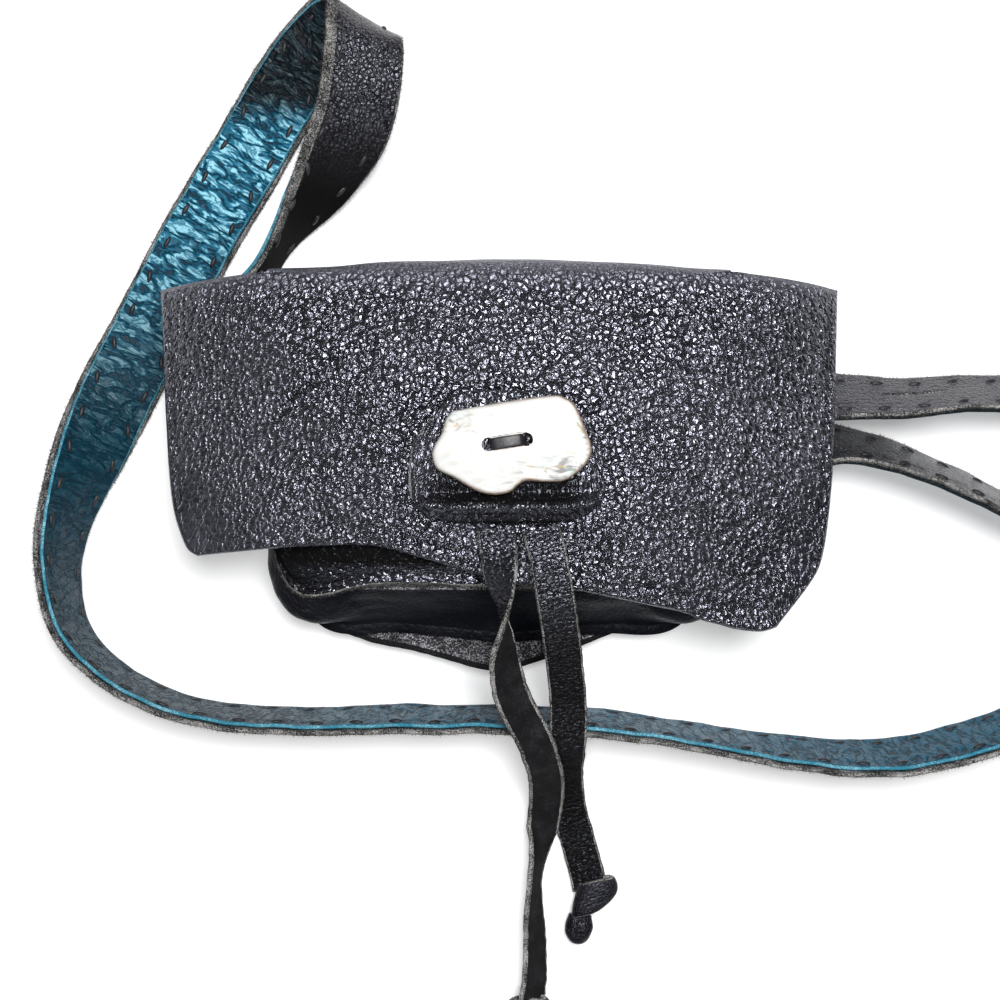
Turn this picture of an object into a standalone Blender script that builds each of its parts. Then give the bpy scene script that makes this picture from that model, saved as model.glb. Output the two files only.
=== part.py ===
"""Soft leather crossbody bag, lying on its back with the flap tied over the front.

Frame, in metres: +Z is up, +Y is towards the bag's top edge and +X is to its right. The origin is
on the outer face of the back sleeve, the flat piece that the bag rests on.
"""
import math

import bmesh
import bpy
from mathutils import Matrix, Vector

# Clearance left between pieces that touch
GAP = 0.0003

# Leather thicknesses
PANEL_THICK = 0.0013
FLAP_THICK = 0.0012
LINING_THICK = 0.0008
PATCH_THICK = 0.0013
TIE_THICK = 0.0014
STRAP_LAYER = 0.0012

# Pouch: a front panel and a back panel joined by a bent gusset
POUCH_HALF_WIDTH = 0.0575
POUCH_TOP = 0.031
FRONT_BOTTOM = -0.0445
BACK_BOTTOM = -0.0620
FRONT_CORNER = 0.016
BACK_CORNER = 0.024
SEAM_FLANGE = 0.0035
GUSSET_BULGE = 0.0050
CORNER_LOBE = 0.0055
BACK_HEIGHT = 0.0046
BACK_EDGE_LIFT = 0.0032
BACK_FLAT_SHARE = 0.90
FRONT_SEAM_SLACK = 0.0019
BACK_TIP = 0.0090

# Flap: crowned over the pouch, with two wings that hang past its sides
FLAP_HALF_WIDTH = 0.0915
FLAP_CROWN = 0.0420
FLAP_FOLD_HEIGHT = 0.0386
WING_HEIGHT = 0.0262
FLAP_TAPER = 0.0055
FLAP_CORNER = 0.0090
HEM_DROP = 0.0030
HEM_DROP_SPAN = (-0.018, -0.055)
HEM_LINE = (
    (-0.092, -0.0375), (-0.070, -0.0370), (-0.050, -0.0355), (-0.033, -0.0355), (-0.010, -0.0412),
    (0.008, -0.0464), (0.030, -0.0490), (0.051, -0.0540), (0.072, -0.0585), (0.092, -0.0555),
)

# Hinge line, where the leather folds over the bag's top edge
HINGE_Y = 0.0330
HINGE_CLEARANCE = 0.0016
SPINE_DEPTH = 0.0042
SPINE_ROUND = 0.0045

# Back sleeve, which holds the strap against the bag
SLEEVE_HALF_WIDTH = 0.0320
SLEEVE_HALF_HEIGHT = 0.0310
SLEEVE_RAMP = 0.0030
SLEEVE_HEM = 0.0030

# Button, its slot and its lace
BUTTON_CENTRE = (0.0030, -0.0095)
BUTTON_THICK = 0.0036
BUTTON_ROUND = 0.0006
BUTTON_OUTLINE = (
    (-0.0155, 0.0028), (-0.0125, 0.0088), (-0.0055, 0.0106), (0.0030, 0.0121), (0.0108, 0.0129),
    (0.0158, 0.0104), (0.0186, 0.0052), (0.0202, -0.0012), (0.0190, -0.0052), (0.0132, -0.0088),
    (0.0042, -0.0090), (-0.0002, -0.0118), (-0.0078, -0.0120), (-0.0142, -0.0086),
    (-0.0200, -0.0040), (-0.0186, 0.0004),
)
HOLE_RADIUS = 0.0019
HOLE_SPACING = 0.0096
HOLE_RISE = 0.0013
SLOT_DEPTH = 0.0017
LACE_RADIUS = 0.0014

# Patch under the button, gathered along its lower edge
PATCH_LEFT = -0.0236
PATCH_RIGHT = 0.0268
PATCH_TOP = 0.0050
PATCH_BOTTOM = -0.0292
PATCH_RISE = 0.0012
GATHERS = 9
GATHER_HEIGHT = 0.0009

# Snap closure behind the patch
SNAP_CENTRE = (0.0015, -0.0130)
SNAP_RADIUS = 0.0090
SNAP_THICK = 0.0025
SNAP_NOSE_RADIUS = 0.0033
SNAP_NOSE_CLEARANCE = 0.0004
SNAP_BASE_RADIUS = 0.0070
SNAP_BASE_THICK = 0.0010
WASHER_RADIUS = 0.0078
WASHER_HOLE = 0.0015
WASHER_THICK = 0.0006
SNAP_HOLLOW = 0.0180

# Strap, with its slits and its stud
STRAP_WIDTH = 0.0220
STRAP_STEP = 0.0055
SLIT_LENGTH = 0.0180
SLIT_WIDTH = 0.0016
STUD_SLIT_WIDTH = 0.0046
SLIT_PLACES = (0.0240, 0.0600)
STUD_INSET = 0.0120
STUD_NECK = 0.0018
STUD_HEAD = 0.0045
STUD_HEAD_THICK = 0.0009

# Ties
TIE_WIDTH = 0.0100
TIE_POINT_STEP = 0.0045
KNOT_SIZE = (0.0130, 0.0100, 0.0054)
KNOT_BALL = 0.0038

# The strap's route from its free tip to its sewn end. Each station has the middle's x and y, the
# lift of the strap's lowest point off the table, and the heading and the slope in degrees of the
# line across the strap, from its edge on the table to its raised edge.
SLEEVE_LIFT = STRAP_LAYER + GAP
STRAP_ROUTE = (
    (0.1760, 0.0040, 0.0002, -90, 60), (0.1580, 0.0060, 0.0002, -90, 62),
    (0.1400, 0.0062, 0.0002, -90, 62), (0.1287, 0.0062, 0.0002, -90, 62),
    (0.1144, 0.0051, 0.0002, -90, 60), (0.1030, 0.0052, 0.0002, -90, 57),
    (0.0940, 0.0054, 0.0002, -90, 52), (0.0850, 0.0062, 0.0002, -90, 44),
    (0.0760, 0.0078, 0.0003, -90, 32), (0.0680, 0.0096, 0.0008, -90, 17),
    (0.0600, 0.0112, 0.0011, -90, 5), (0.0530, 0.0120, 0.0015, -90, 0),
    (0.0450, 0.0120, SLEEVE_LIFT, -90, 0), (0.0200, 0.0120, SLEEVE_LIFT, -90, 0),
    (-0.0200, 0.0120, SLEEVE_LIFT, -90, 0), (-0.0450, 0.0120, 0.0012, -90, 0),
    (-0.0550, 0.0120, 0.0004, -90, 1), (-0.0620, 0.0126, 0.0003, -95, 8),
    (-0.0685, 0.0150, 0.0003, -120, 30), (-0.0725, 0.0200, 0.0003, -150, 52),
    (-0.0738, 0.0262, 0.0003, 185, 68), (-0.0715, 0.0330, 0.0003, 165, 80),
    (-0.0658, 0.0409, 0.0003, 150, 88),
    (-0.0602, 0.0504, 0.0003, 150, 84), (-0.0537, 0.0600, 0.0010, 138, 64),
    (-0.0478, 0.0683, 0.0036, 138, 45), (-0.0434, 0.0757, 0.0078, 148, 27),
    (-0.0402, 0.0830, 0.0110, 160, 15), (-0.0383, 0.0916, 0.0130, 166, 11),
    (-0.0376, 0.0980, 0.0135, 170, 11), (-0.0375, 0.1050, 0.0112, 176, 23),
    (-0.0403, 0.1120, 0.0020, 152, 36), (-0.0475, 0.1088, 0.0008, 138, 12),
    (-0.0540, 0.1030, 0.0005, 145, 3), (-0.0600, 0.0950, 0.0003, 149, 1),
    (-0.0695, 0.0790, 0.0002, 149, 2), (-0.0775, 0.0655, 0.0002, 149, 3),
    (-0.0855, 0.0519, 0.0002, 150, 4),
    (-0.0925, 0.0386, 0.0002, 151, 5), (-0.0991, 0.0254, 0.0002, 153, 8),
    (-0.1055, 0.0130, 0.0002, 155, 13), (-0.1112, 0.0000, 0.0002, 157, 24),
    (-0.1165, -0.0140, 0.0002, 158, 46), (-0.1210, -0.0283, 0.0002, 162, 63),
    (-0.1228, -0.0431, 0.0002, 172, 74), (-0.1197, -0.0585, 0.0002, 200, 82),
    (-0.1106, -0.0695, 0.0002, 230, 85), (-0.0982, -0.0775, 0.0002, 245, 85),
    (-0.0852, -0.0820, 0.0002, 257, 85), (-0.0700, -0.0843, 0.0002, 265, 84),
    (-0.0500, -0.0845, 0.0002, 270, 83), (-0.0273, -0.0841, 0.0002, 270, 81),
    (0.0018, -0.0845, 0.0002, 270, 82), (0.0309, -0.0857, 0.0002, 270, 82),
    (0.0585, -0.0898, 0.0002, 268, 82), (0.0873, -0.0942, 0.0002, 268, 77),
    (0.1024, -0.0950, 0.0002, 270, 76), (0.1174, -0.0937, 0.0002, 274, 75),
    (0.1321, -0.0900, 0.0002, 282, 75), (0.1480, -0.0838, 0.0002, 298, 78),
    (0.1620, -0.0730, 0.0002, 325, 82), (0.1680, -0.0580, 0.0002, 0, 90),
    (0.1640, -0.0430, 0.0002, 210, 84), (0.1530, -0.0310, 0.0002, 236, 76),
    (0.1397, -0.0242, 0.0002, 246, 70), (0.1301, -0.0194, 0.0002, 250, 69),
    (0.1185, -0.0144, 0.0002, 252, 69), (0.1074, -0.0102, 0.0002, 256, 66),
    (0.0959, -0.0079, 0.0002, 262, 62), (0.0870, -0.0079, 0.0002, 268, 50),
    (0.0780, -0.0087, 0.0002, 270, 34), (0.0690, -0.0103, 0.0006, 270, 17),
    (0.0600, -0.0117, 0.0008, 270, 5), (0.0530, -0.0122, 0.0013, 270, 0),
    (0.0450, -0.0122, SLEEVE_LIFT, 270, 0),
    (0.0060, -0.0122, SLEEVE_LIFT, 270, 0),
)

# The ties' routes. Each point has x, y and z of the middle, and the turn in degrees of the line
# across the tie about its run: 0 is flat with its light edge to the left, 90 has that edge up.
LEFT_TIE_ROUTE = (
    (-0.0008, -0.0306, 0.0426, 0), (-0.0004, -0.0360, 0.0425, 6), (0.0002, -0.0425, 0.0440, 30),
    (0.0004, -0.0490, 0.0430, 62), (0.0005, -0.0560, 0.0395, 100), (0.0010, -0.0640, 0.0350, 140),
    (0.0026, -0.0735, 0.0302, 165), (0.0054, -0.0804, 0.0282, 174), (0.0088, -0.0866, 0.0273, 178),
    (0.0110, -0.0925, 0.0258, 180), (0.0125, -0.0985, 0.0196, 180), (0.0131, -0.1060, 0.0102, 178),
    (0.0124, -0.1145, 0.0046, 165), (0.0106, -0.1225, 0.0056, 110), (0.0090, -0.1310, 0.0046, 42),
    (0.0088, -0.1400, 0.0014, 8), (0.0092, -0.1480, 0.0012, 2), (0.0096, -0.1560, 0.0012, 0),
    (0.0091, -0.1633, 0.0014, 0), (0.0088, -0.1655, 0.0017, 0),
)
RIGHT_TIE_ROUTE = (
    (0.0106, -0.0306, 0.0426, 0), (0.0120, -0.0365, 0.0419, 0), (0.0134, -0.0430, 0.0410, 0),
    (0.0145, -0.0495, 0.0400, 0), (0.0156, -0.0562, 0.0368, 0), (0.0170, -0.0659, 0.0318, 0),
    (0.0180, -0.0744, 0.0276, 0), (0.0184, -0.0805, 0.0255, 0), (0.0184, -0.0866, 0.0248, 0),
    (0.0181, -0.0922, 0.0222, 0), (0.0181, -0.0985, 0.0142, 0), (0.0188, -0.1060, 0.0062, 0),
    (0.0201, -0.1130, 0.0018, 0), (0.0222, -0.1205, 0.0012, 2), (0.0242, -0.1275, 0.0015, 6),
    (0.0250, -0.1308, 0.0017, 6),
)

PARTS = "crossbody_bag"
CUTTERS = "cutters"


def collection(name):
    found = bpy.data.collections.new(name)
    bpy.context.scene.collection.children.link(found)
    return found


def leather(name, colour, roughness, metallic=0.0):
    material = bpy.data.materials.new(name)
    material.use_nodes = True
    shader = material.node_tree.nodes["Principled BSDF"]
    shader.inputs["Base Color"].default_value = (*colour, 1.0)
    shader.inputs["Roughness"].default_value = roughness
    shader.inputs["Metallic"].default_value = metallic
    return material


def add_object(name, mesh, material, group=PARTS):
    piece = bpy.data.objects.new(name, mesh)
    bpy.data.collections[group].objects.link(piece)
    if material:
        mesh.materials.append(material)
    return piece


def solidify(piece, thickness, even=True):
    wall = piece.modifiers.new("wall", "SOLIDIFY")
    wall.thickness = thickness
    wall.offset = 0.0
    wall.use_even_offset = even


def sheet(name, place, columns, rows, thickness, material, even=True):
    """Grid whose points go where place(u, v) says, u and v from 0 to 1, thickened about itself."""
    mesh = bpy.data.meshes.new(name)
    grid = bmesh.new()
    bmesh.ops.create_grid(grid, x_segments=columns, y_segments=rows, size=1.0)
    for vertex in grid.verts:
        vertex.co = place(0.5 + vertex.co.x / 2, 0.5 + vertex.co.y / 2)
    grid.to_mesh(mesh)
    grid.free()
    mesh.shade_smooth()
    piece = add_object(name, mesh, material)
    solidify(piece, thickness, even)
    return piece


def turned(name, profile, centre, material):
    """Profile of (radius, height) points spun about the upright line through centre."""
    mesh = bpy.data.meshes.new(name)
    line = bmesh.new()
    points = [line.verts.new((radius, 0, height)) for radius, height in profile]
    for first, second in zip(points, points[1:]):
        line.edges.new((first, second))
    line.to_mesh(mesh)
    line.free()
    piece = add_object(name, mesh, material)
    piece.location = centre
    spin = piece.modifiers.new("spin", "SCREW")
    spin.steps = spin.render_steps = 18
    spin.use_merge_vertices = True
    spin.merge_threshold = 0.00001
    return piece


def cut(piece, cutter):
    boolean = piece.modifiers.new("cut", "BOOLEAN")
    boolean.operation = "DIFFERENCE"
    boolean.object = cutter


def make_cutter(name, mesh, place=None):
    cutter = add_object(name, mesh, None, CUTTERS)
    if place:
        cutter.matrix_world = place
    cutter.hide_render = True
    cutter.display_type = "WIRE"
    return cutter


def drill(name, x, y, low, high, radius):
    """Upright cylinder to cut with."""
    mesh = bpy.data.meshes.new(name)
    rod = bmesh.new()
    bmesh.ops.create_cone(rod, cap_ends=True, segments=20, radius1=radius, radius2=radius,
                          depth=high - low)
    rod.to_mesh(mesh)
    rod.free()
    return make_cutter(name, mesh, Matrix.Translation((x, y, (low + high) / 2)))


def ease(low, high, value):
    """Smooth step from 0 at low to 1 at high."""
    share = min(1.0, max(0.0, (value - low) / (high - low)))
    return share * share * (3 - 2 * share)


def through(points, share):
    """Smooth curve through a list of points of any size, share from 0 to 1."""
    spans = len(points) - 1
    place = min(max(share, 0.0), 1.0) * spans
    first = min(int(place), spans - 1)
    t = place - first
    knots = [points[min(max(first + step, 0), spans)] for step in (-1, 0, 1, 2)]
    weights = (
        (-t ** 3 + 2 * t ** 2 - t) / 2, (3 * t ** 3 - 5 * t ** 2 + 2) / 2,
        (-3 * t ** 3 + 4 * t ** 2 + t) / 2, (t ** 3 - t ** 2) / 2,
    )
    return [sum(w * knot[axis] for w, knot in zip(weights, knots)) for axis in range(len(knots[0]))]


def hem(x):
    """The flap's lower edge at x, before its corners are rounded."""
    for (left, low), (right, high) in zip(HEM_LINE, HEM_LINE[1:]):
        if x <= right:
            return low + (high - low) * ease(left, right, x)
    return HEM_LINE[-1][1]


def flap_top(x, y):
    """Height of the flap's outer face."""
    fold = ease(0.002, HINGE_Y, y)
    crown = FLAP_CROWN + (FLAP_FOLD_HEIGHT - FLAP_CROWN) * fold
    crown -= HEM_DROP * ease(*HEM_DROP_SPAN, y)
    reach = min(1.0, abs(x) / FLAP_HALF_WIDTH)
    side = (1 - fold) * reach ** 2.4 + fold * reach ** 6
    return crown - (crown - WING_HEIGHT) * side


def flap_point(u, v, depth):
    """Point of the flap, u across and v from the fold to the hem, depth below the outer face."""
    across = 2 * u - 1
    reach = FLAP_HALF_WIDTH - FLAP_TAPER * v * v
    x = across * reach
    corner = max(0.0, (abs(x) - reach + FLAP_CORNER) / FLAP_CORNER)
    rounding = FLAP_CORNER * (1 - math.sqrt(max(0.0, 1 - corner * corner)))
    bottom = hem(x) + rounding
    y = HINGE_Y + (bottom - HINGE_Y) * v
    wave = 0.0007 * math.sin(x / 0.009 + 1.3) * v ** 4 * (1 - abs(across) ** 4)
    return Vector((x, y, flap_top(x, y) + wave - depth))


def snap_hollow(x, y):
    """How far the front panel keeps below the flap around the snap."""
    away = math.dist((x, y), SNAP_CENTRE) / SNAP_HOLLOW
    room = GAP * 3 + SNAP_THICK + SNAP_BASE_THICK
    return GAP + 0.0002 + room * math.exp(-away * away * away)


def front_top(x, y):
    """Height of the front panel's outer face."""
    under_flap = flap_top(x, y) - FLAP_THICK - GAP - LINING_THICK
    side = 0.0040 * min(1.3, abs(x) / POUCH_HALF_WIDTH) ** 4
    foot = 0.0050 * ease(FRONT_BOTTOM + 0.010, FRONT_BOTTOM - SEAM_FLANGE, y)
    return under_flap - snap_hollow(x, y) - side - foot


def back_under(x):
    """Height of the back panel's outer face, which rounds up towards its sides."""
    return BACK_HEIGHT + BACK_EDGE_LIFT * ease(BACK_FLAT_SHARE, 1.06, abs(x) / POUCH_HALF_WIDTH)


def u_line(share, top, bottom, radius):
    """Point and outward direction along a U: down the left side, round, and up the right."""
    side, bend = 0.27, 0.15
    flip = share > 0.5
    s = 1 - share if flip else share
    if s < side:
        x, y = -POUCH_HALF_WIDTH, top + (bottom + radius - top) * s / side
        out = Vector((-1, 0, 0))
    elif s < side + bend:
        angle = math.pi / 2 * (s - side) / bend
        out = Vector((-math.cos(angle), -math.sin(angle), 0))
        x = -POUCH_HALF_WIDTH + radius + out.x * radius
        y = bottom + radius + out.y * radius
    else:
        x = (-POUCH_HALF_WIDTH + radius) * (0.5 - s) / (0.5 - side - bend)
        y, out = bottom, Vector((0, -1, 0))
    if flip:
        x, out.x = -x, -out.x
    return x, y, out


def front_panel_point(u, v):
    across = 2 * u - 1
    reach = POUCH_HALF_WIDTH + SEAM_FLANGE
    x = across * reach
    corner = max(0.0, (abs(x) - reach + FRONT_CORNER) / FRONT_CORNER)
    rounding = FRONT_CORNER * (1 - math.sqrt(max(0.0, 1 - corner * corner)))
    bottom = FRONT_BOTTOM - SEAM_FLANGE + rounding
    y = POUCH_TOP + (bottom - POUCH_TOP) * v
    return Vector((x, y, front_top(x, y) - PANEL_THICK / 2))


GUSSET_ROWS = 9


def gusset_point(u, v):
    """Point of the gusset: a flange under the front panel, the wall, a flange on the back."""
    row = round(v * GUSSET_ROWS)
    front_x, front_y, out = u_line(u, POUCH_TOP, FRONT_BOTTOM, FRONT_CORNER)
    back_x, back_y, _ = u_line(u, POUCH_TOP, BACK_BOTTOM, BACK_CORNER)
    half = PANEL_THICK / 2
    inset = SEAM_FLANGE - 0.0008
    if row == 0:
        x, y = front_x + out.x * inset, front_y + out.y * inset
        return Vector((x, y, front_top(x, y) - PANEL_THICK - FRONT_SEAM_SLACK - half))
    if row == GUSSET_ROWS:
        x, y = back_x + out.x * inset, back_y + out.y * inset
        return Vector((x, y, back_under(x) + PANEL_THICK + GAP + half))
    front_z = front_top(front_x, front_y) - PANEL_THICK - FRONT_SEAM_SLACK - half
    front = Vector((front_x, front_y, front_z))
    back = Vector((back_x, back_y, back_under(back_x) + PANEL_THICK + GAP + half))
    share = (row - 1) / (GUSSET_ROWS - 2)
    corner = math.exp(-((abs(u - 0.5) - 0.155) / 0.05) ** 2)
    bulge = GUSSET_BULGE * math.sin(math.pi * share) ** 2
    bulge += CORNER_LOBE * corner * math.sin(math.pi * share ** 1.6) ** 2
    wall = front.lerp(back, share)
    wall.xy = front.xy.lerp(back.xy, share ** 1.7)
    return wall + out * bulge


def back_outline(x):
    """The back panel's lower edge, which shows as a crescent past the gusset."""
    reach = POUCH_HALF_WIDTH + SEAM_FLANGE
    share = min(1.0, abs(x) / reach)
    bottom = BACK_BOTTOM - BACK_TIP
    return bottom + (BACK_BOTTOM + BACK_CORNER - bottom) * share ** 2.8


def spine_profile(across):
    """Points (y, z) of the back leather where it turns up and over the bag's mouth."""
    bow = SPINE_DEPTH * (1 - across * across)
    foot = back_under(across * POUCH_HALF_WIDTH) + PANEL_THICK / 2
    top = FLAP_FOLD_HEIGHT - FLAP_THICK / 2
    rise = top - foot
    outer = HINGE_Y + HINGE_CLEARANCE + SPINE_ROUND / 2
    return (
        (outer - 0.0035, foot), (outer + bow * 0.3, foot + 0.05 * rise),
        (outer + bow * 0.75, foot + 0.22 * rise), (outer + bow, foot + 0.48 * rise),
        (outer + bow * 0.85, foot + 0.72 * rise), (outer + bow * 0.45, foot + 0.90 * rise),
        (HINGE_Y + HINGE_CLEARANCE, top - 0.0004),
    )


BACK_ROWS = 16
BACK_FLAT_ROWS = 8


def back_panel_point(u, v):
    across = 2 * u - 1
    x = across * (POUCH_HALF_WIDTH + SEAM_FLANGE)
    row = round(v * BACK_ROWS)
    profile = spine_profile(across)
    if row <= BACK_FLAT_ROWS:
        low = back_outline(x)
        y = low + (profile[0][0] - low) * row / BACK_FLAT_ROWS
        return Vector((x, y, back_under(x) + PANEL_THICK / 2))
    y, z = through(profile, (row - BACK_FLAT_ROWS) / (BACK_ROWS - BACK_FLAT_ROWS))
    return Vector((x, y, z))


def sleeve_point(u, v):
    """Back sleeve: flat where the bag rests on it, ramped up to a hem on the back panel."""
    half = PANEL_THICK / 2
    hem_height = BACK_HEIGHT - GAP - half
    flat = SLEEVE_HALF_HEIGHT - SLEEVE_HEM - SLEEVE_RAMP
    profile = ((-SLEEVE_HALF_HEIGHT, hem_height), (-flat - SLEEVE_RAMP, hem_height), (-flat, half),
               (flat, half), (flat + SLEEVE_RAMP, hem_height), (SLEEVE_HALF_HEIGHT, hem_height))
    y, z = profile[round(v * (len(profile) - 1))]
    return Vector(((2 * u - 1) * SLEEVE_HALF_WIDTH, y, z))


def patch_point(u, v):
    """Patch: lifted over the washer, flat at its rim, gathered along its lower edge."""
    x = PATCH_LEFT + (PATCH_RIGHT - PATCH_LEFT) * u
    y = PATCH_BOTTOM + (PATCH_TOP - PATCH_BOTTOM) * v
    corner = (2 * u - 1) ** 6
    y += 0.0022 * corner * (1 - 2 * v)
    x += 0.0016 * (1 - 2 * u) * (2 * v - 1) ** 6
    rim = min(1.0, 9 * u * (1 - u)) * min(1.0, 7 * v * (1 - v) + 0.12)
    gather = GATHER_HEIGHT * (1 + math.sin(2 * math.pi * GATHERS * u)) / 2 * (1 - v) ** 6
    ridge = 0.0012 * math.exp(-((v - 0.09) / 0.07) ** 2)
    lift = GAP + PATCH_RISE * rim + gather + ridge
    return Vector((x, y, flap_top(x, y) + lift + PATCH_THICK / 2))


def patch_top():
    """Height that the button's underside keeps to, above the patch's highest point under it."""
    x, y = BUTTON_CENTRE
    return flap_top(x, y) + GAP + PATCH_RISE + PATCH_THICK + GAP + 0.0002


def ribbon_frames(points, widths, step):
    """Even stations along a smooth ribbon: middle, run and line across, all as vectors."""
    dense = 24 * (len(points) - 1)
    line = [Vector(through(points, i / dense)) for i in range(dense + 1)]
    travelled = [0.0]
    for first, second in zip(line, line[1:]):
        travelled.append(travelled[-1] + (second - first).length)
    count = max(2, round(travelled[-1] / step))
    frames, near = [], 0
    for station in range(count + 1):
        goal = travelled[-1] * station / count
        while near < dense - 1 and travelled[near + 1] < goal:
            near += 1
        span = travelled[near + 1] - travelled[near]
        share = (near + (goal - travelled[near]) / span) / dense
        ahead = Vector(through(points, min(1.0, share + 0.2 / dense)))
        behind = Vector(through(points, max(0.0, share - 0.2 / dense)))
        run = (ahead - behind).normalized()
        across = Vector(through(widths, share))
        across = (across - run * across.dot(run)).normalized()
        frames.append((Vector(through(points, share)), run, across))
    return frames


def frame_at(frames, place):
    """Middle, run and line across at a place between two stations."""
    first = int(place)
    share = place - first
    return [a.lerp(b, share) for a, b in zip(frames[first], frames[first + 1])]


def frame_over(frames, x):
    """Middle, run and line across where the ribbon first comes in past x."""
    for index, (here, ahead) in enumerate(zip(frames, frames[1:])):
        if here[0].x >= x > ahead[0].x:
            return frame_at(frames, index + (here[0].x - x) / (here[0].x - ahead[0].x))
    return frames[-1]


def strap_frames():
    points, widths = [], []
    for x, y, lift, heading, slope in STRAP_ROUTE:
        heading, slope = math.radians(heading), math.radians(slope)
        stand = STRAP_WIDTH / 2 * math.sin(slope) + (STRAP_LAYER + GAP / 2) * math.cos(slope)
        points.append(Vector((x, y, lift + stand)))
        widths.append(Vector((math.cos(slope) * math.cos(heading),
                              math.cos(slope) * math.sin(heading), math.sin(slope))))
    return ribbon_frames(points, widths, STRAP_STEP)


def tie_frames(route):
    points = [Vector(point[:3]) for point in route]
    widths = []
    for index, point in enumerate(route):
        ahead = points[min(index + 1, len(points) - 1)]
        behind = points[max(index - 1, 0)]
        run = (ahead - behind).normalized()
        left = run.cross(Vector((0, 0, 1))).normalized()
        widths.append(Matrix.Rotation(math.radians(point[3]), 3, run) @ left)
    return ribbon_frames(points, widths, TIE_POINT_STEP)


def ribbon(name, frames, width, offset, thickness, material):
    """Flat strip along frames, its middle plane offset towards its grain side.

    Both faces of every cell are split from the same edge to the same edge, so that strips laid
    together keep their gap where they twist.
    """
    mesh = bpy.data.meshes.new(name)
    strip = bmesh.new()
    rings = []
    for middle, run, across in frames:
        grain = run.cross(across)
        low, high = offset - thickness / 2, offset + thickness / 2
        rings.append([strip.verts.new(middle + across * side * width / 2 + grain * depth)
                      for side, depth in ((-1, low), (1, low), (1, high), (-1, high))])
    for (a, b, c, d), (e, f, g, h) in zip(rings, rings[1:]):
        for corners in ((a, e, b), (b, e, f), (c, g, h), (c, h, d), (b, f, g), (b, g, c),
                        (d, h, e), (d, e, a)):
            strip.faces.new(corners)
    strip.faces.new(rings[0])
    strip.faces.new(rings[-1])
    bmesh.ops.recalc_face_normals(strip, faces=strip.faces)
    strip.to_mesh(mesh)
    strip.free()
    return add_object(name, mesh, material)


def make_pouch(black, suede):
    sheet("front_panel", front_panel_point, 20, 12, PANEL_THICK, black)
    sheet("gusset", gusset_point, 34, GUSSET_ROWS, PANEL_THICK, black, even=False)
    back = sheet("back_panel", back_panel_point, 14, BACK_ROWS, PANEL_THICK, suede)
    sheet("back_sleeve", sleeve_point, 4, 5, PANEL_THICK, black)
    return back


def make_flap(black, lining):
    middle = FLAP_THICK / 2
    sheet("flap_outer", lambda u, v: flap_point(u, v, middle), 26, 12, FLAP_THICK, black)
    below = FLAP_THICK + GAP + LINING_THICK / 2
    sheet("flap_lining", lambda u, v: flap_point(u, v, below), 26, 12, LINING_THICK, lining)


def button_holes():
    """The two lace holes, left and right, as (x, y)."""
    x, y = BUTTON_CENTRE[0] - 0.0012, BUTTON_CENTRE[1] + 0.0010
    return (x - HOLE_SPACING / 2, y - HOLE_RISE / 2), (x + HOLE_SPACING / 2, y + HOLE_RISE / 2)


def make_button(shell, black, base):
    """Shell button: an uneven outline with two holes and a slot between them for the lace."""
    curve = bpy.data.curves.new("outline", "CURVE")
    curve.dimensions = "2D"
    curve.fill_mode = "BOTH"
    curve.extrude = BUTTON_THICK / 2 - BUTTON_ROUND
    curve.bevel_depth = BUTTON_ROUND
    curve.bevel_resolution = 1
    curve.resolution_u = 3
    spline = curve.splines.new("NURBS")
    spline.points.add(len(BUTTON_OUTLINE) - 1)
    for point, (x, y) in zip(spline.points, BUTTON_OUTLINE):
        point.co = (x, y, 0, 1)
    spline.use_cyclic_u = True
    spline.order_u = 3
    outline = add_object("outline", curve, None)
    outline.location = (*BUTTON_CENTRE, base + BUTTON_THICK / 2)
    bpy.context.view_layer.update()
    evaluated = outline.evaluated_get(bpy.context.evaluated_depsgraph_get())
    mesh = bpy.data.meshes.new_from_object(evaluated)
    solid = bmesh.new()
    solid.from_mesh(mesh)
    bmesh.ops.remove_doubles(solid, verts=solid.verts, dist=0.00002)
    solid.to_mesh(mesh)
    solid.free()
    button = add_object("shell_button", mesh, shell)
    button.matrix_world = outline.matrix_world.copy()
    bpy.data.objects.remove(outline)
    left, right = button_holes()
    for name, (x, y) in (("left_hole", left), ("right_hole", right)):
        cut(button, drill(name, x, y, base - 0.001, base + BUTTON_THICK + 0.001, HOLE_RADIUS))
    slot_mesh = bpy.data.meshes.new("slot")
    slot = bmesh.new()
    bmesh.ops.create_cube(slot, size=1.0)
    slot.to_mesh(slot_mesh)
    slot.free()
    turn = math.atan2(right[1] - left[1], right[0] - left[0])
    top = base + BUTTON_THICK
    middle = Vector(((left[0] + right[0]) / 2, (left[1] + right[1]) / 2, top))
    size = Matrix.Diagonal((HOLE_SPACING, HOLE_RADIUS * 1.9, 2 * SLOT_DEPTH, 1))
    slot_place = Matrix.Translation(middle) @ Matrix.Rotation(turn, 4, "Z") @ size
    cut(button, make_cutter("slot", slot_mesh, slot_place))
    make_lace(left, right, base, top, black)


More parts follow.
